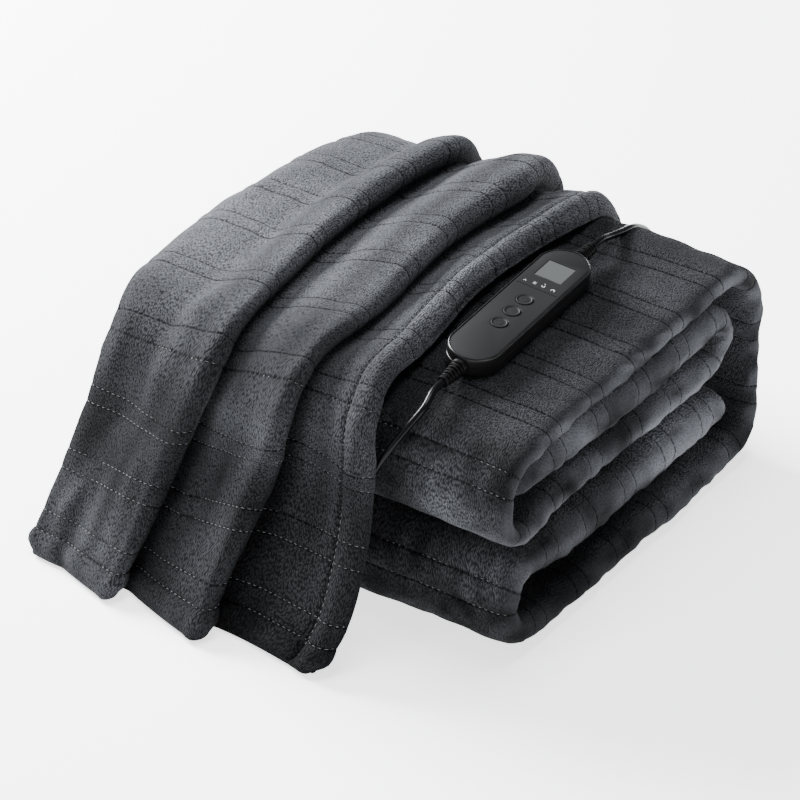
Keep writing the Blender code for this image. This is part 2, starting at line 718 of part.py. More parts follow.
def main():
    clear_scene()
    plush = make_material("plush", (0.045, 0.048, 0.053), 0.95)
    shell = make_material("shell_plastic", (0.012, 0.012, 0.013), 0.3)
    plate = make_material("plate_plastic", (0.04, 0.041, 0.044), 0.45)
    window = make_material("display_window", (0.22, 0.23, 0.23), 0.3)
    rubber = make_material("cord_rubber", (0.015, 0.015, 0.016), 0.35)
    steel = make_material("pin_metal", (0.6, 0.58, 0.52), 0.3, 1.0)
    make_blanket(plush)
    frame = controller_frame()
    make_shells(frame, shell)
    make_plate(frame, plate)
    make_display(frame, window)
    make_buttons(frame, plate)
    make_relief("lead_relief", -1, frame, rubber)
    make_relief("mains_relief", 1, frame, rubber)
    make_cord("lead_cord", [relief_tip(-1), relief_tip(-1, STRAIGHT_OUT), *LEAD_ROUTE], rubber)
    make_cord("mains_cord", [relief_tip(1), relief_tip(1, STRAIGHT_OUT), *MAINS_ROUTE], rubber)
    make_coil(rubber)
    make_tie(rubber)
    make_cord("mains_tail", TAIL_ROUTE, rubber)
    make_plug(rubber, steel)


main()
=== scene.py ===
"""An electric heated throw of charcoal plush: folded into a block, one end pleated over its front, and
its push-button controller on top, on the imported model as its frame. Tables are in millimetres.
"""

import math

import bmesh
import bpy
import numpy as np
from mathutils import Euler, Matrix, Vector


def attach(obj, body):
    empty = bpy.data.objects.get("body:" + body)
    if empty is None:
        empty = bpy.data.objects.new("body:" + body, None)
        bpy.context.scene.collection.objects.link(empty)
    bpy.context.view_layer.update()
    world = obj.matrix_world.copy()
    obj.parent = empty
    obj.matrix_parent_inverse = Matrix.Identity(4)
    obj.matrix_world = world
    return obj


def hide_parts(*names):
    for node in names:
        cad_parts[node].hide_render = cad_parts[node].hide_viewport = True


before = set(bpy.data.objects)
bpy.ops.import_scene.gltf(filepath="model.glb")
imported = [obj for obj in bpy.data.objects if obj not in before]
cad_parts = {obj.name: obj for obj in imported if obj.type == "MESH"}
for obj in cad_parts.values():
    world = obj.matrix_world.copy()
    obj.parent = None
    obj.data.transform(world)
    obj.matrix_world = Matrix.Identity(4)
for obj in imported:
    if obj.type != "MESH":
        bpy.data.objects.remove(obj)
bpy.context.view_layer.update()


# ---- the studio -----------------------------------------------------------------------------------
# A pale board under a large soft key box at the left, with weak boxes over the top, in front and low at
# the right, and a narrow strip for the gloss. The camera stands 35 degrees round and 32 degrees up; its
# place was fitted to the edges of the block in the photograph.
MM = 0.001
CAMERA_ROUND, CAMERA_UP = 35.0, 32.0
CAMERA_PLACE = (1157.99, -1698.16, 1344.0)
CAMERA_LENS = 157.5
FLOOR_SIZE = 9.0
BOARD_GLOW, ROOM_LIGHT = 1.8, 0.32
LIGHTS = (
    # name, place (m), aimed at (m), width, height (m), watts
    ("key_box", (-1.95, 0.25, 1.2), (-0.05, -0.05, 0.1), 1.1, 0.9, 360.0),
    ("top_box", (0.0, 0.25, 2.5), (0.0, 0.0, 0.1), 1.0, 1.0, 70.0),
    ("front_box", (-0.9, -2.1, 1.1), (-0.05, -0.15, 0.08), 1.2, 0.9, 9.0),
    ("right_box", (2.1, -0.9, 0.55), (0.15, -0.05, 0.06), 1.1, 0.5, 26.0),
    ("gloss_strip", (-0.35, -0.95, 1.25), (0.09, -0.05, 0.17), 0.12, 0.7, 3.0),
)


def linear(hex_colour):
    """An sRGB hex colour as linear red, green, blue and alpha."""
    channels = [int(hex_colour[k : k + 2], 16) / 255 for k in (0, 2, 4)]
    curve = [c / 12.92 if c <= 0.04045 else ((c + 0.055) / 1.055) ** 2.4 for c in channels]
    return (*curve, 1.0)


def add_node(tree, kind, links=(), **settings):
    """A node with its settings, and links given as (its input, the socket that feeds it)."""
    node = tree.nodes.new(kind)
    for name, value in settings.items():
        if hasattr(node, name):
            setattr(node, name, value)
        else:
            node.inputs[name.replace("_", " ")].default_value = value
    for name, source in links:
        tree.links.new(source, node.inputs[name])
    return node


def new_material(name, colour, roughness, **settings):
    """A Principled material; returns it, its node tree and its shader."""
    material = bpy.data.materials.new(name)
    material.use_nodes = True
    shader = material.node_tree.nodes["Principled BSDF"]
    shader.inputs["Base Color"].default_value = linear(colour)
    shader.inputs["Roughness"].default_value = roughness
    for socket, value in settings.items():
        shader.inputs[socket.replace("_", " ")].default_value = value
    return material, material.node_tree, shader


def link_object(name, data, *materials):
    """The mesh or curve as an object in the scene, with its materials."""
    item = bpy.data.objects.new(name, data)
    bpy.context.scene.collection.objects.link(item)
    for material in materials:
        data.materials.append(material)
    return item


def add_grain(tree, scale, strength, depth):
    """Fine unevenness on a material's surface; returns the coordinates it is laid out on."""
    place = add_node(tree, "ShaderNodeTexCoord").outputs["Object"]
    grain = add_node(tree, "ShaderNodeTexNoise", [("Vector", place)], Scale=scale, Detail=2.0)
    height = grain.outputs["Fac"]
    bump = add_node(tree, "ShaderNodeBump", [("Height", height)], Strength=strength, Distance=depth)
    tree.links.new(bump.outputs["Normal"], tree.nodes["Principled BSDF"].inputs["Normal"])
    return place


# painted board, evenly matt and lit from beneath: a pale ground that takes only a soft shadow
board, board_tree, _ = new_material(
    "painted_board", "F8F9FA", 0.75, Emission_Color=(1.0, 1.0, 1.0, 1.0), Emission_Strength=BOARD_GLOW
)
add_grain(board_tree, 600.0, 0.05, MM)
half_floor = FLOOR_SIZE / 2
floor_mesh = bpy.data.meshes.new("floor")
floor_corners = [(x * half_floor, y * half_floor, 0) for x, y in ((-1, -1), (1, -1), (1, 1), (-1, 1))]
floor_mesh.from_pydata(floor_corners, [], [(0, 1, 2, 3)])
floor = link_object("floor", floor_mesh, board)

for name, place, aim, width, height, watts in LIGHTS:
    lamp = bpy.data.lights.new(name, "AREA")
    lamp.shape = "RECTANGLE"
    lamp.size, lamp.size_y = width, height
    lamp.energy = watts
    box = bpy.data.objects.new(name, lamp)
    box.location = place
    box.rotation_euler = (Vector(aim) - Vector(place)).to_track_quat("-Z", "Y").to_euler()
    bpy.context.scene.collection.objects.link(box)

world = bpy.data.worlds.new("white_room")
world.use_nodes = True
world.node_tree.nodes["Background"].inputs["Color"].default_value = linear("F6F8FA")
world.node_tree.nodes["Background"].inputs["Strength"].default_value = ROOM_LIGHT
bpy.context.scene.world = world

across, up = math.radians(CAMERA_ROUND), math.radians(CAMERA_UP)
towards = Vector((math.sin(across) * math.cos(up), -math.cos(across) * math.cos(up), math.sin(up)))
camera = bpy.data.objects.new("camera", bpy.data.cameras.new("camera"))
camera.data.lens = CAMERA_LENS
camera.data.clip_end = 30.0
camera.location = Vector(CAMERA_PLACE) * MM
camera.rotation_euler = (-towards).to_track_quat("-Z", "Y").to_euler()
bpy.context.scene.collection.objects.link(camera)
bpy.context.scene.camera = camera


# ---- lead and mains cord --------------------------------------------------------------------------
# Round flexible cord, 5 mm over its smooth black PVC sheath, extruded and so evenly satin. The lead goes
# from the controller into the cloth; the mains cord runs over the back edge to its tied coil and plug.
CORD_DIAMETER = 5.0
LEAD_ROUTE = (
    (90.8, -125.5, 168.7),
    (92.5, -149.5, 163.5),
    (87, -162, 152),
    (79.5, -172, 137),
    (71, -177.5, 120),
    (60, -178, 98),
    (48, -180, 72),
    (34, -184, 45),
    (14, -189, 20),
    (-12, -192, 6),
    (-45, -192, 3.2),
    (-80, -191, 3.2),
    (-108, -190, 9),
    (-126, -188, 25),
    (-133, -184, 46),
    (-134, -177, 65),
    (-134, -167, 77),
    (-134, -158, 80),
)
MAINS_ROUTE = (
    (79.5, 92, 173),
    (79.5, 107, 169.5),
    (78.5, 121, 166),
    (76.5, 135, 159.5),
    (75, 149, 149.5),
    (73.5, 160.5, 134.5),
    (72.5, 167.5, 116),
    (71, 170.5, 90),
    (66, 169.5, 60),
    (57, 170, 34),
    (44, 174.5, 13),
    (26, 180, 4),
    (8, 182.6, 2.6),
    (-10, 182.4, 2.7),
    (-26, 181.6, 3.2),
)
COIL_CENTRE = (-46.0, 214.0)
COIL_TURNS = (
    # radius, height of each turn in the winding
    (33.0, 4.0),
    (28.0, 4.0),
    (23.0, 4.0),
    (23.0, 9.1),
    (28.0, 9.1),
    (26.5, 14.1),
    (32.6, 9.3),
)
COIL_STEPS = 24
COIL_EXTRA = 0.25           # of a turn more, to where the tail leaves
COIL_SHIFT = 0.65           # part of a turn after which it steps over to the next one
TAIL_ROUTE = (
    (-78.8, 222, 9.0),
    (-78, 236, 7.4),
    (-75, 248, 5.2),
    (-70, 257, 4.6),
    (-62.5, 263.5, 5.6),
    (-53, 266, 8.0),
    (-44.3, 266, 8.5),
)
CORD_STEP = 4.0


def lengths_along(points):
    """Each point's distance along a line of points."""
    chords = np.linalg.norm(np.diff(points, axis=0), axis=1)
    return np.concatenate(([0.0], np.cumsum(chords)))


def smooth_curve(rows, places, spacing):
    """Rows about `spacing` apart on a smooth curve through the rows, whose first columns are places."""
    rows = np.array(rows, dtype=float)
    chords = np.linalg.norm(np.diff(rows[:, :places], axis=0), axis=1)
    along = lengths_along(rows[:, :places])
    slopes = np.gradient(rows, along, axis=0)
    samples = []
    for i, chord in enumerate(chords):
        steps = max(1, round(chord / spacing))
        for t in np.arange(steps) / steps:
            start = rows[i] * (1 + 2 * t) * (1 - t) ** 2 + slopes[i] * chord * t * (1 - t) ** 2
            end = rows[i + 1] * t * t * (3 - 2 * t) + slopes[i + 1] * chord * t * t * (t - 1)
            samples.append(start + end)
    samples.append(rows[-1])
    return np.array(samples)


def cord_curve(name, points, material):
    """A round cord as a curve of one open spline through the points, in millimetres."""
    curve = bpy.data.curves.new(name, "CURVE")
    curve.dimensions = "3D"
    curve.bevel_depth = MM * CORD_DIAMETER / 2
    curve.bevel_resolution = 5
    curve.use_fill_caps = True
    spline = curve.splines.new("POLY")
    spline.points.add(len(points) - 1)
    for target, point in zip(spline.points, points):
        target.co = (*(MM * value for value in point), 1.0)
    spline.use_smooth = True
    return link_object(name, curve, material)


def winding():
    """The coil's turns, clockwise from above, each stepping to the next over part of a turn."""
    points = []
    total = int((len(COIL_TURNS) + COIL_EXTRA) * COIL_STEPS)
    for step in range(2, total + 1):
        turn, part = divmod(step / COIL_STEPS, 1.0)
        here = np.array(COIL_TURNS[min(int(turn), len(COIL_TURNS) - 1)])
        after = np.array(COIL_TURNS[min(int(turn) + 1, len(COIL_TURNS) - 1)])
        ease = np.clip((part - COIL_SHIFT) / (1 - COIL_SHIFT), 0, 1)
        radius, z = here + (after - here) * ease * ease * (3 - 2 * ease)
        angle = -math.pi / 2 - 2 * math.pi * step / COIL_STEPS
        x, y = COIL_CENTRE[0] + radius * math.cos(angle), COIL_CENTRE[1] + radius * math.sin(angle)
        points.append((x, y, z))
    return points


# PVC sheath: black all through, with the soft gloss and faint waviness that extruding leaves
sheath, sheath_tree, _ = new_material("pvc_sheath", "08080A", 0.26, IOR=1.25, Specular_IOR_Level=0.3)
add_grain(sheath_tree, 260.0, 0.12, 0.4 * MM)

# the controller's length, width, place and turn come from a fit to its outline in the photograph,
# and its thickness doesn't
CONTROLLER_LENGTH, CONTROLLER_WIDTH, CONTROLLER_THICK = 148.4, 37.8, 16.0
CONTROLLER_PLACE = (86.3, -29.7, 181.0)
CONTROLLER_TURN = (2.4, 5.6, 2.4)
RELIEF_LENGTH = 21.0
PIECE_GAP = 0.3
CORD_INSIDE, STRAIGHT_OUT = 1.0, 9.0    # how far the cord reaches into its relief, and straight out of it
controller_turn = Euler([math.radians(angle) for angle in CONTROLLER_TURN], "YXZ")
controller_matrix = Matrix.Translation(Vector(CONTROLLER_PLACE)) @ controller_turn.to_matrix().to_4x4()


def relief_tip(end, beyond):
    """A point past the tip of a strain relief, in world millimetres."""
    y = end * (CONTROLLER_LENGTH / 2 + 2 * PIECE_GAP + RELIEF_LENGTH + beyond)
    return tuple(controller_matrix @ Vector((0.0, y, -CONTROLLER_THICK / 2)))


def from_relief(end, route):
    """A cord's points from inside its strain relief on along its route."""
    return smooth_curve([relief_tip(end, -CORD_INSIDE), relief_tip(end, STRAIGHT_OUT), *route], 3, CORD_STEP)


lead_points = from_relief(-1, LEAD_ROUTE[1:])       # the first point lies in the straight stretch
lead = cord_curve("lead", lead_points, sheath)
tail_points = smooth_curve(TAIL_ROUTE, 3, CORD_STEP)
mains_points = np.concatenate([from_relief(1, MAINS_ROUTE), winding(), tail_points])
mains = cord_curve("mains_lead", mains_points, sheath)
for cord, nodes in ((lead, ("lead_cord",)), (mains, ("mains_cord", "mains_coil", "mains_tail"))):
    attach(cord, "throw")
    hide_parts(*nodes)

# nickel-plated brass: warm white metal with a soft gloss
nickel, _, _ = new_material("plated_brass", "CFC8B8", 0.28, Metallic=1.0)
for finish, part_names in ((sheath, ("coil_tie", "plug_body")),
                           (nickel, ("plug_pin_left", "plug_pin_right"))):
    for part_name in part_names:
        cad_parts[part_name].data.materials.clear()
        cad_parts[part_name].data.materials.append(finish)


# ---- the controller -------------------------------------------------------------------------------
# A hand control of two moulded ABS shells that meet in a fine joint, with a thin rim round a separate
# face plate, a blank display window, three push buttons in their wells, and a slotted rubber strain
# relief at each end. It is drawn in its own millimetres, the rim's top at 0, and placed by its matrix.
SHELL_SPLIT, RIM_WIDTH = 6.8, 1.5
SHARP_ANGLE = math.radians(32)
PLATE_THICK, PLATE_SINK = 1.1, 0.35
DIVIDER_Y, DIVIDER_WIDTH = 20.6, 0.7
DISPLAY_SIZE, DISPLAY_Y = (20.6, 20.2), 45.0
BUTTON_TOP_Y, BUTTON_SPACING, BUTTON_RADIUS, BUTTON_STAND = 5.2, 16.0, 5.8, 0.5
RELIEF_DIAMETERS, RELIEF_RIBS = (12.0, 8.0), 6


def stadium(inset, z, steps=28):
    """A ring round the controller's outline, drawn in by inset."""
    radius = CONTROLLER_WIDTH / 2 - inset
    straight = CONTROLLER_LENGTH / 2 - CONTROLLER_WIDTH / 2
    angles = [math.pi * k / steps for k in range(steps + 1)]
    return [(end * radius * math.cos(a), end * (straight + radius * math.sin(a)), z)
            for end in (1, -1) for a in angles]


def disc(radius, y, z, facets=48):
    """A ring round an upright axis on the controller's centre line."""
    angles = [2 * math.pi * k / facets for k in range(facets)]
    return [(radius * math.cos(a), y + radius * math.sin(a), z) for a in angles]


def lofted(rings):
    """A closed skin over the rings, in the controller's own millimetres, as a bmesh."""
    skin = bmesh.new()
    loops = [[skin.verts.new(point) for point in ring] for ring in rings]
    for low, high in zip(loops, loops[1:]):
        for k in range(len(low)):
            skin.faces.new((low[k - 1], low[k], high[k], high[k - 1]))
    skin.faces.new(loops[0][::-1])
    skin.faces.new(loops[-1])
    bmesh.ops.recalc_face_normals(skin, faces=skin.faces)
    return skin


def joined_mesh(name, skins):
    """The skins as one mesh, put in place on the throw."""
    mesh = bpy.data.meshes.new(name)
    joined = bmesh.new()
    for skin in skins:
        skin.to_mesh(mesh)
        skin.free()
        joined.from_mesh(mesh)
    joined.transform(Matrix.Scale(MM, 4) @ controller_matrix)
    joined.to_mesh(mesh)
    joined.free()
    return mesh


def controller_piece(name, skins, material, nodes, body="throw"):
    """The skins as one piece, put in place on the throw; it stands for the nodes named."""
    mesh = joined_mesh(name, skins)
    mesh.shade_smooth()
    mesh.set_sharp_from_angle(angle=SHARP_ANGLE)
    piece = link_object(name, mesh, material)
    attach(piece, body)
    if nodes:
        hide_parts(*nodes)
    return piece


# moulded ABS, black all through, finely spark-eroded: satin, with a broad soft gloss on its round edges
black_abs, abs_tree, _ = new_material(
    "moulded_black_abs", "0A0A0B", 0.34, IOR=1.5, Specular_IOR_Level=0.22
)
# the face plate is the same ABS, polished less and a shade greyer, so it reads apart from its rim
plate_abs, plate_tree, _ = new_material("matt_face_abs", "121315", 0.6, IOR=1.5, Specular_IOR_Level=0.1)
for tree in (abs_tree, plate_tree):
    place = add_grain(tree, 2600.0, 0.1, 0.1 * MM)
    handled = add_node(tree, "ShaderNodeTexNoise", [("Vector", place)], Scale=70.0, Detail=3.0)
    roughness = tree.nodes["Principled BSDF"].inputs["Roughness"]
    dull, shiny = roughness.default_value + 0.06, roughness.default_value - 0.05
    polish = add_node(tree, "ShaderNodeMapRange", [("Value", handled.outputs["Fac"])],
                      To_Min=shiny, To_Max=dull)
    tree.links.new(polish.outputs["Result"], roughness)

lower_profile = ((3.4, 0.0), (2.2, 0.12), (1.2, 0.6), (0.6, 1.3), (0.25, 2.2), (0.05, 3.4), (0.0, 6.0),
                 (0.0, 8.75), (0.3, 8.95))
lower_rings = [stadium(inset, rise - CONTROLLER_THICK) for inset, rise in lower_profile]
upper_profile = ((0.3, -SHELL_SPLIT - 0.05), (0.0, -SHELL_SPLIT + 0.15), (0.0, -3.0), (0.08, -1.8),
                 (0.25, -0.95), (0.5, -0.42), (0.8, -0.12), (1.05, 0.0), (1.3, -0.05), (1.45, -0.2),
                 (RIM_WIDTH, -0.4), (RIM_WIDTH, -1.75))
upper_rings = [stadium(inset, z) for inset, z in upper_profile]
for name, rings, node in (("controller_back", lower_rings, "controller_lower_shell"),
                          ("controller_front", upper_rings, "controller_upper_shell")):
    controller_piece(name, [lofted(rings)], black_abs, (node,))

plate_top = -PLATE_SINK
plate_edge = RIM_WIDTH + 0.35
plate_profile = ((0.0, -PLATE_THICK), (0.0, -0.2), (0.06, -0.05), (0.2, 0.0))
plate_rings = [stadium(plate_edge + inset, plate_top + z) for inset, z in plate_profile]
plate_skin = lofted(plate_rings)
plate = controller_piece("controller_plate", [plate_skin], plate_abs, ("face_plate",))


def rounded_block(size, centre, round_by, segments=3):
    """A box with rounded edges, as a bmesh in the controller's own millimetres."""
    block_skin = bmesh.new()
    bmesh.ops.create_cube(block_skin, size=1.0)
    for corner in block_skin.verts:
        corner.co = Vector([centre[k] + size[k] * corner.co[k] for k in range(3)])
    edges = list(block_skin.edges)
    bmesh.ops.bevel(block_skin, geom=edges, offset=round_by, segments=segments, affect="EDGES")
    return block_skin


WINDOW_GAP = 0.5
cutters = [rounded_block((*(side + WINDOW_GAP for side in DISPLAY_SIZE), 8.0), (0.0, DISPLAY_Y, 0.0), 0.5)]
groove_across = CONTROLLER_WIDTH - 2 * RIM_WIDTH - 3.4
cutters.append(rounded_block((groove_across, DIVIDER_WIDTH, 1.4), (0.0, DIVIDER_Y, plate_top + 0.4), 0.2))
well_profile = ((0.35, -6.0), (0.35, plate_top - 0.3), (0.75, plate_top + 0.1), (0.75, 2.0))
for index in range(3):
    well_y = BUTTON_TOP_Y - index * BUTTON_SPACING
    cutters.append(lofted([disc(BUTTON_RADIUS + gap, well_y, z) for gap, z in well_profile]))
wells = link_object("plate_wells", joined_mesh("plate_wells", cutters))
boring = plate.modifiers.new("wells", "BOOLEAN")
boring.operation, boring.solver, boring.object = "DIFFERENCE", "EXACT", wells
bored = bpy.data.meshes.new_from_object(plate.evaluated_get(bpy.context.evaluated_depsgraph_get()))
plate.modifiers.clear()
plate.data = bored
bored.set_sharp_from_angle(angle=SHARP_ANGLE)
bpy.data.objects.remove(wells)

# liquid-crystal window: grey-green polariser under clear hard acrylic, blank, with a glassy gloss
window_glass, _, _ = new_material(
    "display_acrylic", "404242", 0.2, IOR=1.49, Coat_Weight=0.25, Coat_Roughness=0.1
)
window = rounded_block((*DISPLAY_SIZE, 1.4), (0.0, DISPLAY_Y, plate_top - 0.78), 0.28)
controller_piece("controller_window", [window], window_glass, ("display_window",))

# screen-printed ink: thin flat off-white marks, plain shapes with no meaning of their own
white_ink, _, _ = new_material("printed_ink", "A6A8AA", 0.6)
SIGN_THICK, SIGN_SINK = 0.12, 0.36      # of a printed or raised line, and how far a button's one lies down


def stroke(path, width, z):
    """A flat raised line of the given width along points on the plate, as a bmesh."""
    path = [Vector((*point, 0.0)) for point in path]
    rings = []
    for k, point in enumerate(path):
        heading = (path[min(k + 1, len(path) - 1)] - path[max(k - 1, 0)]).normalized()
        off = Vector((-heading.y, heading.x, 0.0)) * width / 2
        rings.append([(*(point + side * off).xy, z + lift)
                      for side, lift in ((-1, 0), (1, 0), (1, SIGN_THICK), (-1, SIGN_THICK))])
    return lofted(rings)


def arc(centre, radius, start, end, steps=18):
    """Points on an arc, its angles in degrees."""
    angles = [math.radians(start + (end - start) * k / steps) for k in range(steps + 1)]
    return [(centre[0] + radius * math.cos(a), centre[1] + radius * math.sin(a)) for a in angles]


# small generic marks under the window: a peak, two waves, a flame-like hook and a dial
SIGNS = {
    "peak": [[(-12.4, 24.2), (-11.5, 25.8), (-10.6, 24.2)]],
    "waves": [[(-5.6, y), (-4.9, y + 0.6), (-4.1, y - 0.2), (-3.3, y + 0.4)] for y in (26.3, 24.9)],
    "hook": [arc((2.1, 25.9), 1.1, -200, 60, 8), [(2.6, 28.2), (1.5, 28.9)]],
    "dial": [arc((9.7, 25.2), 1.3, -40, 220, 10), [(9.7, 25.2), (10.6, 26.2)]],
}
sign_strokes = [stroke(path, 0.42, plate_top - 0.02) for paths in SIGNS.values() for path in paths]
controller_piece("printed_marks", sign_strokes, white_ink, ())

button_profile = (
    # drawn in from its radius, over its top
    (0.3, -4.3), (0.0, -4.0), (0.0, -0.42), (0.08, -0.18), (0.28, -0.03), (0.55, 0.0), (0.82, -0.06),
    (1.05, -0.25), (1.3, -0.42), (1.7, -0.47), (3.4, -0.36), (5.0, -0.3),
)
button_signs = (
    [arc((0, 0), 2.3, 0, 360, 28), [(-1.3, 0.35), (1.3, 0.35)], [(-1.3, -0.5), (1.3, -0.5)]],
    [],
    [arc((0, 0), 2.2, -230, 50, 22), [(0.0, 0.6), (0.0, 2.9)]],
)
for index, name in enumerate(("button_upper", "button_middle", "button_lower")):
    button_y = BUTTON_TOP_Y - index * BUTTON_SPACING
    button_top = plate_top + BUTTON_STAND
    skins = [lofted([disc(BUTTON_RADIUS - inset, button_y, button_top + z) for inset, z in button_profile])]
    for path in button_signs[index]:
        skins.append(stroke([(x, y + button_y) for x, y in path], 0.5, button_top - SIGN_SINK))
    controller_piece(name + "_cap", skins, plate_abs, (name,), name + "_body")

# moulded PVC, softer and duller than the cord: closed ribs joined by short bridges, so it bends evenly
relief_rubber, relief_tree, _ = new_material(
    "moulded_relief_rubber", "0A0A0B", 0.36, IOR=1.28, Specular_IOR_Level=0.3
)
add_grain(relief_tree, 900.0, 0.15, 0.2 * MM)


def turned_skin(profile, end):
    """A skin turned round the cord's axis at one end of the controller; profile is (distance, radius)."""
    rings = []
    for distance, radius in profile:
        y = end * (CONTROLLER_LENGTH / 2 + PIECE_GAP + distance)
        rings.append([(x, y, z - CONTROLLER_THICK / 2) for x, z, _ in disc(radius, 0.0, 0.0, 32)])
    return lofted(rings)


RELIEF_COLLAR, BRIDGE = 3.2, 2.4
rib_pitch = (RELIEF_LENGTH - RELIEF_COLLAR) / RELIEF_RIBS
rib_wide = rib_pitch * 0.58
collar_profile = ((0.0, 5.7), (0.3, 6.0), (RELIEF_COLLAR - 0.4, 5.9), (RELIEF_COLLAR, 5.5))
core_profile = ((1.0, 3.9), (RELIEF_LENGTH - 1.2, 3.1), (RELIEF_LENGTH, 2.9))
rib_profile = ((0.0, 0.35), (0.15, 0.0), (rib_wide - 0.15, 0.05), (rib_wide, 0.4))
for name, end in (("lead_relief", -1), ("mains_relief", 1)):
    skins = [turned_skin(collar_profile, end), turned_skin(core_profile, end)]
    for rib in range(RELIEF_RIBS):
        start = RELIEF_COLLAR + rib_pitch * (rib + 0.42)
        radius = np.interp(start, (0.0, RELIEF_LENGTH), RELIEF_DIAMETERS) / 2
        skins.append(turned_skin([(start + step, radius - inset) for step, inset in rib_profile], end))
        bridge_out = radius - 1.1
        bridge_y = end * (CONTROLLER_LENGTH / 2 + PIECE_GAP + start - rib_pitch * 0.21)
        for half_turn in (0, 1):
            angle = math.pi * half_turn + (math.pi / 2 if rib % 2 else 0.0)
            bridge_z = math.sin(angle) * bridge_out - CONTROLLER_THICK / 2
            place = (math.cos(angle) * bridge_out, bridge_y, bridge_z)
            skins.append(rounded_block((BRIDGE, rib_pitch * 0.6, BRIDGE), place, 0.3, 1))
    controller_piece(name + "_moulding", skins, relief_rubber, (name,))


# ---- the folded block -----------------------------------------------------------------------------
# Double-layer plush throw, polyester pile about 4 mm long on both faces, quilted with double rows of
# lockstitch every 50 mm. Four plies lie together in each layer; the layers are folded back and forth
# inside one another and the folded side edges round over like a roll.
BLOCK_HALF_WIDTH, BLOCK_MIDDLE_X = 168.0, 4.0
BLOCK_CROWN, BLOCK_TOP = 4.0, 165.0
TOP_BAND, FRONT_Y = 25.0, -130.0        # what lies this near the top is the top layer; the front begins here
NOSE_FLATNESS = 1.15
STITCH_PITCH, STITCH_PAIR, STITCH_DEPTH = 50.0, 13.5, 1.4
TOP_PAIR_Y = -13.0
STRIP_SECTION = (
    # y, z, thick, back
    (-134, 122, 24, 9),     # inner flap
    (-88, 124, 32, 7),
    (0, 124, 33, 6),
    (82, 124, 31, 6),
    (106, 121, 23, 7),      # inner turn
    (118, 107, 17, 8),
    (106, 93, 21, 9),
    (80, 90, 27, 10),       # middle layer
    (0, 89, 28, 11),
    (-84, 90, 26, 9),
    (-126, 91, 19, 5),
    (-149, 92, 17, 2),      # upper front roll
    (-161, 101, 15, 2),
    (-164, 115, 14, 2),
    (-160, 131, 14, 3),
    (-149, 142, 15, 4),
    (-130, 147, 16, 4),
    (-94, 150, 17, 4),      # top layer
    (-40, 152, 17, 4),
    (60, 152, 17, 4),
    (104, 151, 16, 4),
    (126, 145, 17, 4),      # back
    (143, 132, 18, 5),
    (153, 115, 18, 6),
    (156, 88, 18, 7),
    (155, 60, 18, 6),
    (151, 36, 20, 4),
    (138, 19, 25, 2),
    (112, 14, 28, 1),       # bottom layer
    (0, 14, 28, 0),
    (-100, 14, 28, 0),
    (-134, 15, 27, 0),
    (-150, 20, 23, 1),      # lower front roll
    (-157, 34, 19, 2),
    (-155, 49, 20, 2),
    (-142, 60, 25, 3),
    (-114, 58, 32, 4),
    (-80, 54, 36, 4),       # lower fold
    (0, 53, 36, 5),
    (84, 54, 35, 5),
    (107, 54, 32, 5),
)
WIDE_PUFF, NARROW_PUFF = 1.7, 1.0      # height of the quilting between rows of stitching
COARSE_STEP = 4.6           # between rings away from the stitching
GROOVE_STEPS = (-3.0, -1.1, 0.0, 1.1, 3.0)
QUILT_HALF, QUILT_REACH = 18.0, 40.0    # from a row to full height, and from the last rows outwards


def stitch_rows(total, first_pair):
    """Distances along the cloth of the rows of stitching."""
    pairs = np.arange(first_pair % STITCH_PITCH - STITCH_PITCH, total + STITCH_PITCH, STITCH_PITCH)
    rows = np.sort(np.concatenate([pairs - STITCH_PAIR / 2, pairs + STITCH_PAIR / 2]))
    return rows[(rows > 5.0) & (rows < total - 5.0)]


def fill_between(marks, step):
    """The marks, with even steps of at most `step` put in between them."""
    marks = np.unique(np.round(marks, 3))
    filled = [np.linspace(a, b, max(1, math.ceil((b - a) / step)), endpoint=False)
              for a, b in zip(marks, marks[1:])]
    return np.concatenate(filled + [marks[-1:]])


def ripple(a, b, wave_a, wave_b, seed, waves=7):
    """Smooth unevenness between about -1 and 1 over two coordinates."""
    chance = np.random.RandomState(seed)
    total = 0.0
    for _ in range(waves):
        turn, shift = chance.uniform(0, 2 * math.pi, 2)
        pace = chance.uniform(0.7, 1.4)
        along = math.cos(turn) * a / wave_a + math.sin(turn) * b / wave_b
        total = total + np.sin(2 * math.pi * pace * along + shift)
    return total / math.sqrt(waves * 1.6)


def quilting(places, rows, wide=WIDE_PUFF, narrow=NARROW_PUFF):
    """Height of the quilted face at distances along the cloth: 0 on a row of stitching."""
    spots = np.concatenate([[rows[0] - QUILT_REACH], rows, [rows[-1] + QUILT_REACH]])
    after = np.clip(np.searchsorted(spots, places), 1, len(spots) - 1)
    low, high = spots[after - 1], spots[after]
    half = np.minimum((high - low) / 2, QUILT_HALF)
    from_row = np.minimum(places - low, high - places)
    height = np.where(half < 10, narrow, wide)
    t = np.clip(1 - from_row / half, 0, 1)
    return height * (1 - t ** 5) * (1 - 0.15 * t)


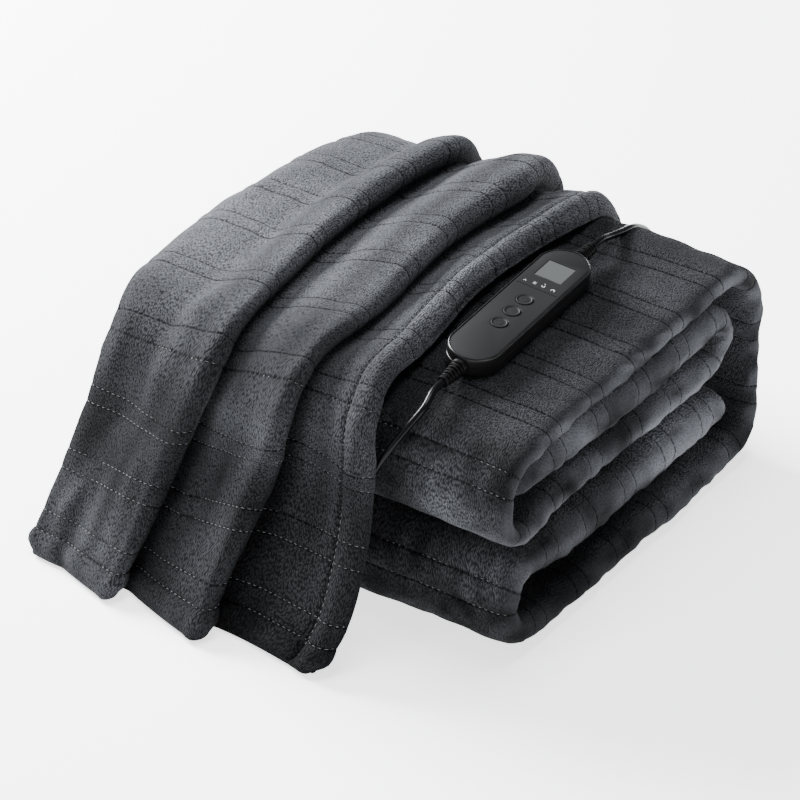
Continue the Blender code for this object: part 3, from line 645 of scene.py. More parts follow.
def grid_mesh(name, rings, girth, places, marks):
    """A closed skin through rings of points (mm), ends closed, with a UV map in metres of cloth and
    a value at each point for every named mark."""
    count, size = rings.shape[:2]
    mesh = bpy.data.meshes.new(name)
    base = np.arange(count - 1)[:, None] * size
    k = np.arange(size)[None, :]
    after = (k + 1) % size
    quads = np.stack([base + k, base + after, base + size + after, base + size + k], axis=-1).reshape(-1, 4)
    faces = quads.tolist() + [list(range(size))[::-1], list(range((count - 1) * size, count * size))]
    mesh.from_pydata((MM * rings.reshape(-1, 3)).tolist(), [], faces)
    cloth = np.stack(np.meshgrid(girth, places), axis=-1)
    corners = np.stack([cloth[:-1, :-1], cloth[:-1, 1:], cloth[1:, 1:], cloth[1:, :-1]], axis=2)
    uv = np.concatenate([corners.reshape(-1, 2), cloth[0, :-1][::-1], cloth[-1, :-1]])
    mesh.uv_layers.new(name="cloth").data.foreach_set("uv", (MM * uv).astype(np.float32).ravel())
    for mark, values in marks.items():
        values = np.broadcast_to(values, (count, size)).astype(np.float32).ravel()
        mesh.attributes.new(mark, "FLOAT", "POINT").data.foreach_set("value", values)
    mesh.shade_smooth()
    mesh.update()
    return mesh


def unit(vectors):
    """The vectors scaled to length one."""
    return vectors / np.linalg.norm(vectors, axis=-1, keepdims=True)


def columns_at(places, along, line):
    """The line's columns at distances along it."""
    return np.stack([np.interp(places, along, column) for column in line.T], axis=-1)


strip_line = smooth_curve(STRIP_SECTION, 2, 1.0)
strip_along = lengths_along(strip_line[:, :2])
on_top = (strip_line[:, 1] > BLOCK_TOP - TOP_BAND) & (strip_line[:, 0] > TOP_PAIR_Y)
strip_rows = stitch_rows(strip_along[-1], strip_along[np.argmax(on_top)])
strip_marks = [[0.0, strip_along[-1]]] + [strip_rows + step for step in GROOVE_STEPS]
strip_places = fill_between(np.concatenate(strip_marks), COARSE_STEP)
strip_at = columns_at(strip_places, strip_along, strip_line)
just_before, just_after = [columns_at(strip_places + step, strip_along, strip_line[:, :2])
                           for step in (-1.5, 1.5)]
ahead = unit(just_after - just_before)

EDGE_RUN = 45.0             # from where a side edge rounds off to where its closer columns end
edge_run = fill_between([0.0, EDGE_RUN], 2.8)[1:]
middle_run = np.linspace(-1.0, 1.0, 45)
NOSE_STEPS = 11
CORD_SWELL, SWELL_AT, SWELL_REACH = 4.5, (66.0, 122.0), (42.0, 20.0)    # under the mains cord, in x and y
RAISED_CORNER = 7.0         # how far the back right stands up


def strip_ring(place, y, z, thick, back, direction):
    """One ring of the strip, its faces quilted and its side edges rounded: points and each one's girth."""
    half = thick / 2 - STITCH_DEPTH
    puff = float(quilting(np.array([place]), strip_rows)[0])
    pull = STITCH_DEPTH * 0.45 - puff * 0.2
    reach = NOSE_FLATNESS * (half + puff)
    flat = BLOCK_HALF_WIDTH - back - pull - reach
    close_run = flat - np.concatenate([[0.0], edge_run])
    run = np.concatenate([close_run, (flat - EDGE_RUN) * -middle_run[1:-1], -close_run[::-1]])
    turn = np.pi * (0.5 - np.arange(1, NOSE_STEPS) / NOSE_STEPS)
    lip = flat + reach * np.cos(turn)
    xs = np.concatenate([run[::-1], lip, run, -lip[::-1]])
    side = np.concatenate([np.ones(len(run)), np.sin(turn), -np.ones(len(run)), np.sin(turn[::-1])])
    out = np.concatenate([np.zeros(len(run)), np.cos(turn), np.zeros(len(run)), -np.cos(turn[::-1])])
    near_edge = np.clip((np.abs(xs) - flat + 30.0) / 30.0, 0, 1)
    sway = 0.9 * ripple(place, xs, 90.0, 70.0, 3) + 0.45 * ripple(place + 40 * side, xs, 34.0, 26.0, 5)
    crease = 0.4 * near_edge * ripple(place, xs, 9.0, 60.0, 11)
    crease = crease + 0.6 * near_edge * ripple(place + 20 * side, xs, 22.0, 40.0, 13)
    grow = puff * (1 - 0.6 * near_edge) + (sway + crease) * min(1.0, 0.35 + puff / WIDE_PUFF)
    off_x, off_y = (xs - SWELL_AT[0]) / SWELL_REACH[0], (y - SWELL_AT[1]) / SWELL_REACH[1]
    swell = CORD_SWELL * (side > 0) * np.exp(-(off_x ** 2) - off_y ** 2) * (z > 120)
    n = side * half + side * grow + swell
    x = xs + out * (sway + crease) * 0.8
    py = y - direction[1] * n
    pz = z + direction[0] * n + BLOCK_CROWN * (1 - (x / BLOCK_HALF_WIDTH) ** 4) * z / BLOCK_TOP
    at_corner = np.clip((y - 20) / 90, 0, 1) * np.clip((x - 30) / 120, 0, 1) * np.clip((z - 95) / 45, 0, 1)
    pz = pz + RAISED_CORNER * at_corner
    girth = np.concatenate(([0.0], np.cumsum(np.hypot(np.diff(xs), np.diff(side * half)))))
    return np.stack([BLOCK_MIDDLE_X + x, py, np.maximum(pz, 0.0)], axis=-1), girth


strip_rings, girths = [], []
for place, (y, z, thick, back), direction in zip(strip_places, strip_at, ahead):
    ring, girth = strip_ring(place, y, z, thick, back, direction)
    strip_rings.append(ring)
    girths.append(girth)
strip_rings = np.array(strip_rings)


END_ROUND = 9.0             # how far an open end of the strip stands out, rounded


def close_end(rings, places, at_start):
    """Three more rings that round off an open end of the strip."""
    ring, inside = (rings[0], rings[1]) if at_start else (rings[-1], rings[-2])
    middle = ring.mean(axis=0)
    outward = unit((ring - inside).mean(axis=0))
    extra = []
    for degrees in (30, 58, 80):
        out, keep = math.sin(math.radians(degrees)), math.cos(math.radians(degrees))
        thin = middle + (ring - middle) * np.array([1 - 0.03 * (1 - keep), keep, keep])
        extra.append(thin + outward * out * END_ROUND)
    extra = np.array(extra)
    steps = END_ROUND * np.array([1, 2, 3]) / 3
    if at_start:
        return np.concatenate([extra[::-1], rings]), np.concatenate([places[0] - steps[::-1], places])
    return np.concatenate([rings, extra]), np.concatenate([places, places[-1] + steps])


all_rings, all_places = close_end(strip_rings, strip_places, True)
all_rings, all_places = close_end(all_rings, all_places, False)
mean_girth = np.mean(girths, axis=0)
mean_girth = np.append(mean_girth, mean_girth[-1] + 3.0)


def near(places, rows, reach=1.1):
    """1 on a row of stitching, falling to 0 at `reach` from it."""
    after = np.clip(np.searchsorted(rows, places), 1, len(rows) - 1)
    away = np.minimum(np.abs(places - rows[after - 1]), np.abs(places - rows[after]))
    return np.clip(1 - away / reach, 0, 1)


# Brushed polyester plush: tufts about 1 mm wide and 2 mm long lie along the cloth, pale at the tips and
# nearly black at the roots, in soft patches where the pile was stroked; each stitch leaves a dent with
# painted shade in it, and the colour is multiplied by painted light and shade held at each point of the mesh.
TUFT_WIDTH, TUFT_LENGTH, PATCH, STITCH = 0.8, 2.2, 75.0, 4.6
CHARCOAL = "2E2F32"
charcoal_plush, plush_tree, plush_shader = new_material(
    "charcoal_plush", CHARCOAL, 0.9, Sheen_Roughness=0.4, Specular_IOR_Level=0.04
)
plush_shader.inputs["Sheen Tint"].default_value = linear("B9BDC4")
cloth_map = add_node(plush_tree, "ShaderNodeUVMap", uv_map="cloth").outputs["UV"]
plush_place = add_node(plush_tree, "ShaderNodeTexCoord").outputs["Object"]


def cloth_pattern(source, size, **settings):
    """Noise whose features are `size` millimetres across, on a vector in metres."""
    mapping = add_node(plush_tree, "ShaderNodeMapping", [("Vector", source)])
    mapping.inputs["Scale"].default_value = [1 / (MM * value) for value in size]
    links = [("Vector", mapping.outputs["Vector"])]
    return add_node(plush_tree, "ShaderNodeTexNoise", links, Scale=1.0, **settings).outputs["Fac"]


def cloth_maths(operation, *values):
    """A Math node on sockets or numbers."""
    node = add_node(plush_tree, "ShaderNodeMath", operation=operation)
    for place, value in enumerate(values):
        if isinstance(value, bpy.types.NodeSocket):
            plush_tree.links.new(value, node.inputs[place])
        else:
            node.inputs[place].default_value = value
    return node.outputs["Value"]


def cloth_range(value, low, high, to_low, to_high):
    """The value's range from low to high, spread over another range."""
    node = add_node(plush_tree, "ShaderNodeMapRange", [("Value", value)],
                    From_Min=low, From_Max=high, To_Min=to_low, To_Max=to_high)
    return node.outputs["Result"]


def cloth_mark(name):
    """A value that the mesh holds at each of its points."""
    return add_node(plush_tree, "ShaderNodeAttribute", attribute_name=name).outputs["Fac"]


def stitch_dents(mark, along):
    """The dents of a row of stitches, each a stitch long, where the mesh has its mark."""
    place = cloth_maths("PINGPONG", cloth_maths("MULTIPLY", along, 1 / (MM * STITCH)), 0.5)
    return cloth_maths("MULTIPLY", cloth_mark(mark), cloth_range(place, 0.1, 0.2, 0.35, 1.0))


sway_noise = add_node(plush_tree, "ShaderNodeTexNoise", [("Vector", plush_place)], Scale=60.0, Detail=1.0)
swayed = add_node(plush_tree, "ShaderNodeVectorMath", [(0, sway_noise.outputs["Color"]), (2, cloth_map)],
                  operation="MULTIPLY_ADD")
swayed.inputs[1].default_value = (0.003, 0.004, 0.0)
tuft_place = add_node(plush_tree, "ShaderNodeMapping", [("Vector", swayed.outputs["Vector"])])
tuft_place.inputs["Scale"].default_value = (1 / (MM * TUFT_WIDTH), 1 / (MM * TUFT_LENGTH), 1.0)
tuft_cells = add_node(plush_tree, "ShaderNodeTexVoronoi", [("Vector", tuft_place.outputs["Vector"])],
                      voronoi_dimensions="2D", Scale=1.0)
tufts = cloth_range(tuft_cells.outputs["Distance"], 0.08, 0.72, 1.0, 0.0)
tuft_colour = add_node(plush_tree, "ShaderNodeSeparateXYZ", [("Vector", tuft_cells.outputs["Color"])])
tuft_turn = tuft_colour.outputs["X"]
clumps = cloth_pattern(swayed.outputs["Vector"], (4.5, 8.0, 1.0), Detail=2.0)
stroked = cloth_pattern(plush_place, (PATCH, PATCH, PATCH), Detail=3.0, Roughness=0.55)
cloth_uv = add_node(plush_tree, "ShaderNodeSeparateXYZ", [("Vector", cloth_map)])
row_dents = stitch_dents("row_dent", cloth_uv.outputs["X"])
dents_and_painted_shade = cloth_maths("MAXIMUM", row_dents, stitch_dents("hem_dent", cloth_uv.outputs["Y"]))
tone = cloth_range(tufts, 0.25, 0.9, 0.36, 1.6)
for pattern, low, high, dark, pale in (
    (stroked, 0.32, 0.68, 0.76, 1.25),
    (tuft_turn, 0.0, 1.0, 0.78, 1.22),
    (clumps, 0.3, 0.7, 0.84, 1.16),
):
    tone = cloth_maths("MULTIPLY", tone, cloth_range(pattern, low, high, dark, pale))
grain = cloth_range(cloth_mark("velvet"), 0.0, 1.0, 1.0, 0.0)
tone = cloth_maths("MULTIPLY_ADD", cloth_maths("SUBTRACT", tone, 1.0), grain, 1.0)
# painted shade in the stitch dents: the colour falls to 0.14 of itself there
tone = cloth_maths("MULTIPLY", tone, cloth_range(dents_and_painted_shade, 0.0, 1.0, 1.0, 0.14))
# painted light and shade, held at each point of the mesh, multiplies the colour
tone_and_painted_light = cloth_mark("tone_and_painted_light")
tone = cloth_maths("MULTIPLY", tone, tone_and_painted_light)
# the sheen follows the painted light and shade, fainter where the cloth is painted darker
plush_tree.links.new(cloth_range(tone_and_painted_light, 0.2, 1.6, 0.0, 0.16), plush_shader.inputs["Sheen Weight"])
plush_colour = add_node(plush_tree, "ShaderNodeMix", data_type="RGBA", blend_type="MULTIPLY")
plush_colour.inputs[0].default_value = 1.0
plush_colour.inputs[6].default_value = linear(CHARCOAL)
plush_tree.links.new(tone, plush_colour.inputs[7])
clump_height = cloth_maths("MULTIPLY_ADD", clumps, 0.8, cloth_maths("MULTIPLY", dents_and_painted_shade, -2.2))
pile_height = cloth_maths("MULTIPLY_ADD", tufts, grain, clump_height)
pile_bump = add_node(plush_tree, "ShaderNodeBump", [("Height", pile_height)], Strength=1.0, Distance=0.8 * MM)
plush_tree.links.new(plush_colour.outputs[2], plush_shader.inputs["Base Color"])
plush_tree.links.new(pile_bump.outputs["Normal"], plush_shader.inputs["Normal"])

# painted light and shade on the block: its top is painted darker, and its front painted lighter and darker in
# patches
across_rings = np.roll(all_rings, -1, axis=1) - np.roll(all_rings, 1, axis=1)
strip_out = unit(np.cross(across_rings, np.gradient(all_rings, axis=0)))
ring_x, ring_y, ring_z = np.moveaxis(all_rings, -1, 0)
top_share = np.clip((strip_out[..., 2] - 0.45) / 0.4, 0, 1) * (ring_z > BLOCK_TOP - TOP_BAND)
front_share = np.clip((-strip_out[..., 1] - 0.4) / 0.4, 0, 1) * (ring_y < FRONT_Y)
# painted highlights and painted shadows, in patches: ten of these places lie near points that another program
# worked out from the photograph, and the rest, the reach and the strength were given one by one
PAINTED_LIGHT_PATCHES = (
    # x, y, z, reach, how much lighter
    (128, -170, 110, 20, 1.1),
    (84, -168, 106, 24, -0.45),
    (152, -118, 170, 38, 0.4),
    (156, -158, 72, 22, 1.0),
    (84, -166, 132, 30, -0.5),
    (92, -160, 44, 44, -0.5),
    (160, -50, 170, 60, 0.5),
    (150, 70, 172, 75, 0.55),
    (163, -168, 138, 22, -0.5),
    (144, -160, 26, 26, -0.35),
    (172, -80, 72, 40, 0.8),
    (172, 20, 56, 32, 0.9),
    (172, 74, 56, 40, 4.5),
    (172, -20, 112, 38, -0.55),
    (172, -65, 132, 34, 0.4),
    (172, 110, 118, 30, 0.6),
    (172, -90, 30, 48, -0.6),
)
# front patches at random, partly crushed pile and partly painted highlight and shade
crushed = 0.5 + 0.45 * ripple(ring_x, ring_z - ring_y, 55.0, 38.0, 31)
crushed = crushed + 0.38 * ripple(ring_x, ring_z - ring_y, 21.0, 17.0, 32)
# painted shade: darker towards the table, to half at the bottom; the top painted darker by up to half
painted_light_with_height = np.clip((ring_z - 15) / 70, 0, 1)
block_tone_and_painted_light = (0.5 + 0.5 * painted_light_with_height) * (1 - 0.5 * top_share)
block_tone_and_painted_light = block_tone_and_painted_light + front_share * (0.8 * np.clip(crushed, 0, 1.3) - 0.33)
for x, y, z, reach, change in PAINTED_LIGHT_PATCHES:
    away = np.linalg.norm(all_rings - np.array([x, y, z]), axis=-1)
    block_tone_and_painted_light = block_tone_and_painted_light * (1 + change * np.exp(-((away / reach) ** 2)))
nose_share = np.clip((np.abs(strip_out[..., 0]) - 0.35) / 0.4, 0, 1)
stroked_ends = ripple(ring_y, ring_z, 62.0, 30.0, 41) + 0.5 * ripple(ring_y, ring_z, 24.0, 15.0, 42)
# random patches on the side edges, and painted shade on their undersides that face down
end_tone_and_painted_shade = np.where(ring_x > 0, 0.5, 0.15) * stroked_ends - 0.55 * np.clip(-strip_out[..., 2], 0, 1)
block_tone_and_painted_light = np.clip(block_tone_and_painted_light * (1 + nose_share * end_tone_and_painted_shade), 0.2, 3.2)
block_marks = {
    "row_dent": near(all_places, strip_rows)[:, None], "hem_dent": 0.0,
    "tone_and_painted_light": block_tone_and_painted_light, "velvet": 0.7 * nose_share,
}
block_mesh = grid_mesh("folded_block", all_rings, mean_girth, all_places, block_marks)
block = link_object("folded_block", block_mesh, charcoal_plush)
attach(block, "throw")
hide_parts("blanket")


# ---- the draped end -------------------------------------------------------------------------------
# The same plush, its edges turned over once and stitched down 22 mm wide. It is pushed together into
# three pleats on the top, which open into panels as it hangs, and its bottom edge stands on the table.
DRAPE_THICK = 8.0
HEM_WIDE = 22.0
# Lines across the drape, as in the CAD but with the pleats drawn closer to the photograph. The places of
# the sides and of the first two ridges began as another program's results and were then moved.
DRAPE_LINES = (
    # y, z, spread, left, rise, ridge 1, rise, ridge 2, rise, ridge 3, rise, right, rise
    (-238, 4.2, 1.0, -168, 0, -92, 15, -16, 18, 66, 5, 76, 1),
    (-220, 29, 1.0, -166, 1, -86, 17, -14, 19, 73, 8, 83, 4),
    (-197, 64, 1.0, -161, 2, -80, 20, -9, 21, 71, 11, 82, 7),
    (-181, 97, 0.95, -156, 2, -73, 21, -3, 22, 68, 13, 79, 10),
    (-176, 124, 0.85, -151, 1, -64, 20, 3, 21, 65, 12, 77, 8),
    (-167, 147, 0.6, -149, 0, -56, 20, 6, 21, 61, 12, 71, 7),
    (-146, 161, 0.3, -152, 0, -58, 17, 5, 17, 54, 9, 62, 3),
    (-98, 166, 0.1, -163, 0, -65, 17, 7, 17, 46, 10, 57, 0),
    (-25, 169, 0.0, -167, -1, -75, 19, 0, 21, 37, 11, 47, 0),
    (45, 169, 0.0, -166, -1, -77, 22, -5, 24, 36, 11, 47, 0),
    (100, 168, 0.0, -163, -3, -75, 22, -1, 26, 41, 12, 52, 0),
    (131, 161, 0.0, -163, -3, -77, 20, -11, 24, 39, 10, 51, -1),
    (154, 142, 0.0, -162, -1, -81, 16, -17, 20, 36, 6, 49, -1),
    (167, 116, 0.0, -160, 0, -81, 12, -18, 15, 33, 4, 47, 0),
    (171, 90, 0.0, -157, 0, -80, 7, -18, 10, 32, 3, 47, 0),
    (167, 64, 0.0, -154, 0, -80, 3, -18, 4, 28, 2, 42, 0),
    (157, 46, 0.0, -152, 0, -80, 0, -18, 0, 28, 0, 40, 0),
)
# Places of the double rows of stitching along the cloth. The first eight are another program's results,
# found from the photograph and rounded; the last three go on at 52 mm.
DRAPE_PAIRS = (22, 66, 116, 169, 229, 291, 344, 397, 449, 501, 553)
CORNER_ROUND = 5.0          # how far the bottom corners are rounded off
SHOULDER = 5.0              # how far the cloth swells up beside its left edge, on the top
ROW_TILT = 15.0             # how much higher the rows of stitching run across the second and third panels
ROLL_WIDTH = 32.0           # across the first pleat's roll on the top
RISING_SHAPE = ((0.0, 0.02), (0.2, 0.27), (0.42, 0.57), (0.68, 0.84), (0.88, 0.965), (1.0, 1.0))
# Creases of the cloth. The first seven follow points that another program found from the photograph.
CREASES = (
    # from x, along the cloth, to x, along, half width, height
    (-155, 23, -138, 62, 6.0, 2.2),
    (-138, 62, -119, 104, 7.0, 1.6),
    (-104, 34, -94, 104, 6.0, 2.0),
    (-101, 132, -92, 166, 7.0, 1.6),
    (-97, 205, -90, 172, 8.0, 2.0),
    (-28, 70, -22, 130, 6.5, 2.0),
    (-34, 180, -29, 150, 7.0, 1.8),
    (26, 40, 33, 96, 8.0, 1.4),
    (-150, 150, -146, 196, 9.0, -1.4),
)
PANEL_COLUMNS = (36, 15, 28, 16, 17, 13)   # left to crest, wall, panel, wall, panel to the hem, hem


def pleat_outline(row):
    """Control points (x, height) of the upper face, from its left side edge to its right one, and the
    places in that list of the two crests and of the feet of their walls."""
    spread, left, left_rise, *ridges, right, right_rise = row
    swell = SHOULDER * (1 - spread) + 1.5
    swelling = ((0, 0.0), (4, 0.4), (12, 0.85))
    outline = [(left + step, left_rise + part * swell) for step, part in swelling]
    turns = []
    start, start_rise = left + 24, left_rise + swell
    valley = -4.0 * max(0.0, spread - 0.8) / 0.2
    for number, (ridge, rise) in enumerate(zip(ridges[0::2], ridges[1::2])):
        width = ridge - start
        rising = 0.96 * width if number else ROLL_WIDTH + (width - ROLL_WIDTH) * 0.95 * spread
        flat = width - rising
        slow = 1 + spread * (0.0, 0.0, 1.0)[number]
        outline += [(start + part * flat, start_rise) for part in (0.0, 0.5)]
        for part, level in RISING_SHAPE:
            level = (level + (part - level) * 0.75 * spread) ** slow
            outline.append((start + flat + part * rising, start_rise + level * (rise - start_rise)))
        if number == 2:
            break
        turns.append(len(outline) - 1)
        bulge = (0.46 - 0.06 * spread) * rise
        foot = (0.22 - 0.3 * spread) * rise
        deep = rise - valley
        outline += [
            (ridge + 0.42 * bulge, rise - 0.05 * deep),
            (ridge + 0.78 * bulge, rise - 0.17 * deep),
            (ridge + bulge, rise - 0.36 * deep),
            (ridge + 0.94 * bulge, rise - 0.56 * deep),
            (ridge + 0.5 * bulge + 0.5 * foot, rise - 0.79 * deep),
            (ridge + foot, rise - 0.95 * deep),
        ]
        turns.append(len(outline) - 1)
        start, start_rise = ridge + foot + 3.5, valley
    reach = right - ridge
    outline += [(ridge + 0.5 * reach, right_rise + 0.78 * (rise - right_rise)), (right, right_rise)]
    return np.array(outline), turns


drape_line = smooth_curve(DRAPE_LINES, 2, 1.0)
drape_along = lengths_along(drape_line[:, :2])
drape_rows = np.sort([place + side * STITCH_PAIR / 2 for place in DRAPE_PAIRS for side in (-1, 1)])
drape_marks = [[0.0, drape_along[-1]]] + [drape_rows + step for step in GROOVE_STEPS]
drape_places = fill_between(np.concatenate(drape_marks), 3.6)


def even(values, reach):
    """The columns' values evened over `reach` columns to each side."""
    first, last = np.repeat(values[:1], reach, axis=0), np.repeat(values[-1:], reach, axis=0)
    padded = np.concatenate([first, values, last])
    return np.stack([padded[k : k + len(values)] for k in range(2 * reach + 1)]).mean(axis=0)


upper, lower, across_at, drape_painted_shade = [], [], [], []
for place in drape_places:
    row = [np.interp(place, drape_along, column) for column in drape_line.T]
    corner = CORNER_ROUND * max(0.0, 1 - place / (2 * CORNER_ROUND)) ** 2
    row[3], row[-2] = row[3] + corner, row[-2] - corner
    beside = [np.interp(place + step, drape_along, drape_line[:, c]) for step in (-1.5, 1.5) for c in (0, 1)]
    dy, dz = beside[2] - beside[0], beside[3] - beside[1]
    dy *= np.clip(place / 70.0, 0.1, 1.0)           # near the table the pleats stand out level
    dy, dz = dy / math.hypot(dy, dz), dz / math.hypot(dy, dz)
    controls, turns = pleat_outline(row[2:])
    outline = smooth_curve(controls, 2, 0.8)
    run = np.concatenate(([0.0], np.cumsum(np.hypot(*np.diff(outline, axis=0).T))))
    turned_at = [run[np.argmin(np.hypot(*(outline - controls[turn]).T))] for turn in turns]
    stops = [0.0, *turned_at, run[-1] - HEM_WIDE, run[-1]]
    spots = [np.linspace(a, b, n, endpoint=False) for a, b, n in zip(stops, stops[1:], PANEL_COLUMNS)]
    spots = np.concatenate([*spots, [run[-1]]])
    x, rise = np.interp(spots, run, outline[:, 0]), np.interp(spots, run, outline[:, 1]) + 0.5 * DRAPE_THICK
    along_outline = unit(even(np.stack([np.gradient(x), np.gradient(rise)], axis=-1), 2))
    thick, tone_and_painted_light = np.full(len(x), DRAPE_THICK), np.ones(len(x))
    spread = row[2]
    # painted shade in each pleat: darker on the rise before its crest, on its wall towards the foot, and
    # beyond the foot, growing lighter further on
    for number in (0, 1):
        crest, foot = stops[1 + 2 * number], stops[2 + 2 * number]
        tone_and_painted_light = tone_and_painted_light * (1 - 0.42 * (1 - spread) * np.exp(-(((spots - crest + 19.0) / 14.0) ** 2)))
        in_wall = np.clip((spots - crest + 9.0) / 9.0, 0, 1) * np.clip((foot + 7.0 - spots) / 7.0, 0, 1)
        thick = thick - 0.55 * DRAPE_THICK * in_wall
        shade_wide = 9.0 + spread * (15.0 + 22.0 * number * max(0.0, 1 - place / 130.0))
        past = np.clip((spots - foot) / shade_wide, 0, 1)
        down = np.clip((spots - crest) / (foot - crest), 0, 1)
        beyond_foot = 0.75 - 0.53 * spread + (0.25 + 0.53 * spread) * past ** 1.2
        on_wall = 1 - (0.6 + 0.18 * spread) * down ** 1.3
        tone_and_painted_light = tone_and_painted_light * np.where(spots > foot, beyond_foot, on_wall)
    low_x, low_rise = x + along_outline[:, 1] * thick, rise - along_outline[:, 0] * thick
    upper.append(np.stack([x, row[0] - dz * rise, row[1] + dy * rise], axis=-1))
    lower.append(np.stack([low_x, row[0] - dz * low_rise, row[1] + dy * low_rise], axis=-1))
    across_at.append(spots)
    drape_painted_shade.append(tone_and_painted_light)
upper, lower, across_at, drape_painted_shade = [np.array(rows) for rows in (upper, lower, across_at, drape_painted_shade)]


def crowned(middle_off, half_wide):
    """1 along the middle of a stitched-down border, falling to 0 at both its sides."""
    return np.clip(1 - ((middle_off - half_wide) / half_wide) ** 2, 0, 1) ** 0.7


sideways = unit(np.gradient(upper, axis=1))
onward = unit(np.gradient(upper, axis=0))
outward = unit(np.cross(sideways, onward))
span_at = across_at[:, -1:]
mean_across = across_at.mean(axis=0)[None, :]
along_at = drape_places[:, None]
from_right = span_at - across_at
drape_puff = quilting(drape_places, drape_rows, 0.6, 0.5)[:, None]
hem_groove = np.exp(-(((from_right - HEM_WIDE) / 2.2) ** 2))
hem_roll = 2.2 * crowned(from_right, HEM_WIDE / 2)
bottom_roll = 2.6 * crowned(along_at, drape_rows[0] / 2)
drape_height = np.interp(drape_places, drape_along, drape_line[:, 1])
hang_of = np.clip((165.0 - drape_height) / 40.0, 0, 1) * (drape_places < 300)
hanging = hang_of[:, None]
from_left_panel = np.clip((upper[..., 0] + 66) / 74, 0, 1)
pulled_up = ROW_TILT * from_left_panel * np.clip(along_at / 90, 0, 1) * np.clip((225 - along_at) / 110, 0, 1)
upper = upper + onward * pulled_up[..., None]
lower = lower + onward * pulled_up[..., None]
unevenness = 0.0
for height, wave_along, wave_across, seed in (
    (0.8, 120.0, 60.0, 21), (0.4, 38.0, 24.0, 22), (0.5 * hanging, 150.0, 30.0, 23)
):
    unevenness = unevenness + height * ripple(along_at, mean_across, wave_along, wave_across, seed)
for x0, along0, x1, along1, half_wide, high in CREASES:
    reach = np.array([x1 - x0, along1 - along0], dtype=float)
    step = ((upper[..., 0] - x0) * reach[0] + (along_at - along0) * reach[1]) / (reach @ reach)
    step = np.clip(step, -0.25, 1.25)
    off_line = np.hypot(upper[..., 0] - x0 - step * reach[0], along_at - along0 - step * reach[1])
    faded = np.clip(1.25 - 2 * np.abs(step - 0.5), 0, 1)
    unevenness = unevenness + high * np.exp(-((off_line / half_wide) ** 2)) * faded
relief = (drape_puff + hem_roll + bottom_roll) * (1 - 0.85 * hem_groove) + unevenness - 1.4 * hem_groove - 1.0
relief = relief * np.clip(along_at / 5.0, 0.3, 1)
upper = upper + outward * relief[..., None]
EDGE_STEPS = 6


def edge_points(start, end, outwards):
    """Points round the turned edge, from one face to the other."""
    centre, half = (start + end) / 2, (start - end) / 2
    reach = np.linalg.norm(half, axis=-1, keepdims=True)
    angles = [math.pi * k / EDGE_STEPS for k in range(1, EDGE_STEPS)]
    return np.stack([centre + half * math.cos(a) + outwards * reach * math.sin(a) for a in angles], axis=1)


right_edge = edge_points(upper[:, -1], lower[:, -1], unit(np.array([1.0, 0.0, -0.25]))[None, :])
left_edge = edge_points(lower[:, 0], upper[:, 0], np.array([[-1.0, 0.0, 0.0]]))
drape_rings = np.concatenate([upper, right_edge, lower[:, ::-1], left_edge], axis=1)
between = (upper[0] + lower[0]) / 2
right_fill, left_fill = [np.repeat(end, EDGE_STEPS - 1, axis=0) for end in (between[-1:], between[:1])]
half_first = np.concatenate([between, right_fill, between[::-1], left_fill])
ends = []
for degrees in (78, 52, 26):
    turn = math.radians(degrees)
    drawn_in = half_first + (drape_rings[0] - half_first) * math.cos(turn)
    ends.append(drawn_in - onward[0].mean(axis=0) * math.sin(turn) * DRAPE_THICK / 2)
drape_rings = np.concatenate([np.array(ends), drape_rings])
drape_rings[..., 2] = np.maximum(drape_rings[..., 2], 0.0)
COLUMN_GIRTH = 2.4          # of cloth from point to point round a turned edge
edge_girth = COLUMN_GIRTH * np.arange(1, EDGE_STEPS)
right_girth = mean_across[0, -1]
under_girth = right_girth + 14 + (right_girth - mean_across[0, ::-1])
left_girth = under_girth[-1] + COLUMN_GIRTH * np.arange(1, EDGE_STEPS + 1)
drape_girth = np.concatenate([mean_across[0], right_girth + edge_girth, under_girth, left_girth])
drape_steps = np.concatenate([[-3.5, -2.5, -1.2], drape_places])
hem_column = sum(PANEL_COLUMNS[:5])
hem_dent = np.zeros(drape_rings.shape[:2])
hem_dent[:, hem_column] = 1.0
PAINTED_LIGHT_ALONG = (
    # along the cloth, how light it is painted: painted shade where it hangs, painted light on the top
    (0, 0.45), (60, 0.38), (120, 0.38), (165, 0.8), (205, 1.45), (250, 2.1), (330, 2.25), (420, 1.9),
)
PANEL_PAINTED_LIGHT = (
    # painted light and shade for each panel: added towards the hem, times so much where it hangs, times so
    # much all over
    (1.1, 1.0, 1.14),
    (-0.5, 2.35, 1.0),
    (-0.55, 1.8, 1.0),
)
# painted light and shade on the drape: along the cloth, for each panel and from the pleats, times brushed
# streaks at random where it hangs
drape_painted_light = np.interp(drape_places, *np.array(PAINTED_LIGHT_ALONG).T)[:, None]
low_part = np.clip(1 - drape_places / 130, 0, 1)[:, None]
panel = np.searchsorted(np.cumsum(PANEL_COLUMNS)[[0, 2]] + 6, np.arange(len(mean_across[0])))
at_hem, where_hanging, all_over = np.array(PANEL_PAINTED_LIGHT)[panel].T
brushed = 1 + 0.28 * hanging * ripple(mean_across, along_at, 34.0, 90.0, 24)
drape_painted_light = drape_painted_light * drape_painted_shade * (1 + low_part * at_hem) * where_hanging ** hanging * brushed * all_over
right_painted_light, left_painted_light = [np.repeat(end, EDGE_STEPS - 1, axis=1) for end in (drape_painted_light[:, -1:], drape_painted_light[:, :1])]
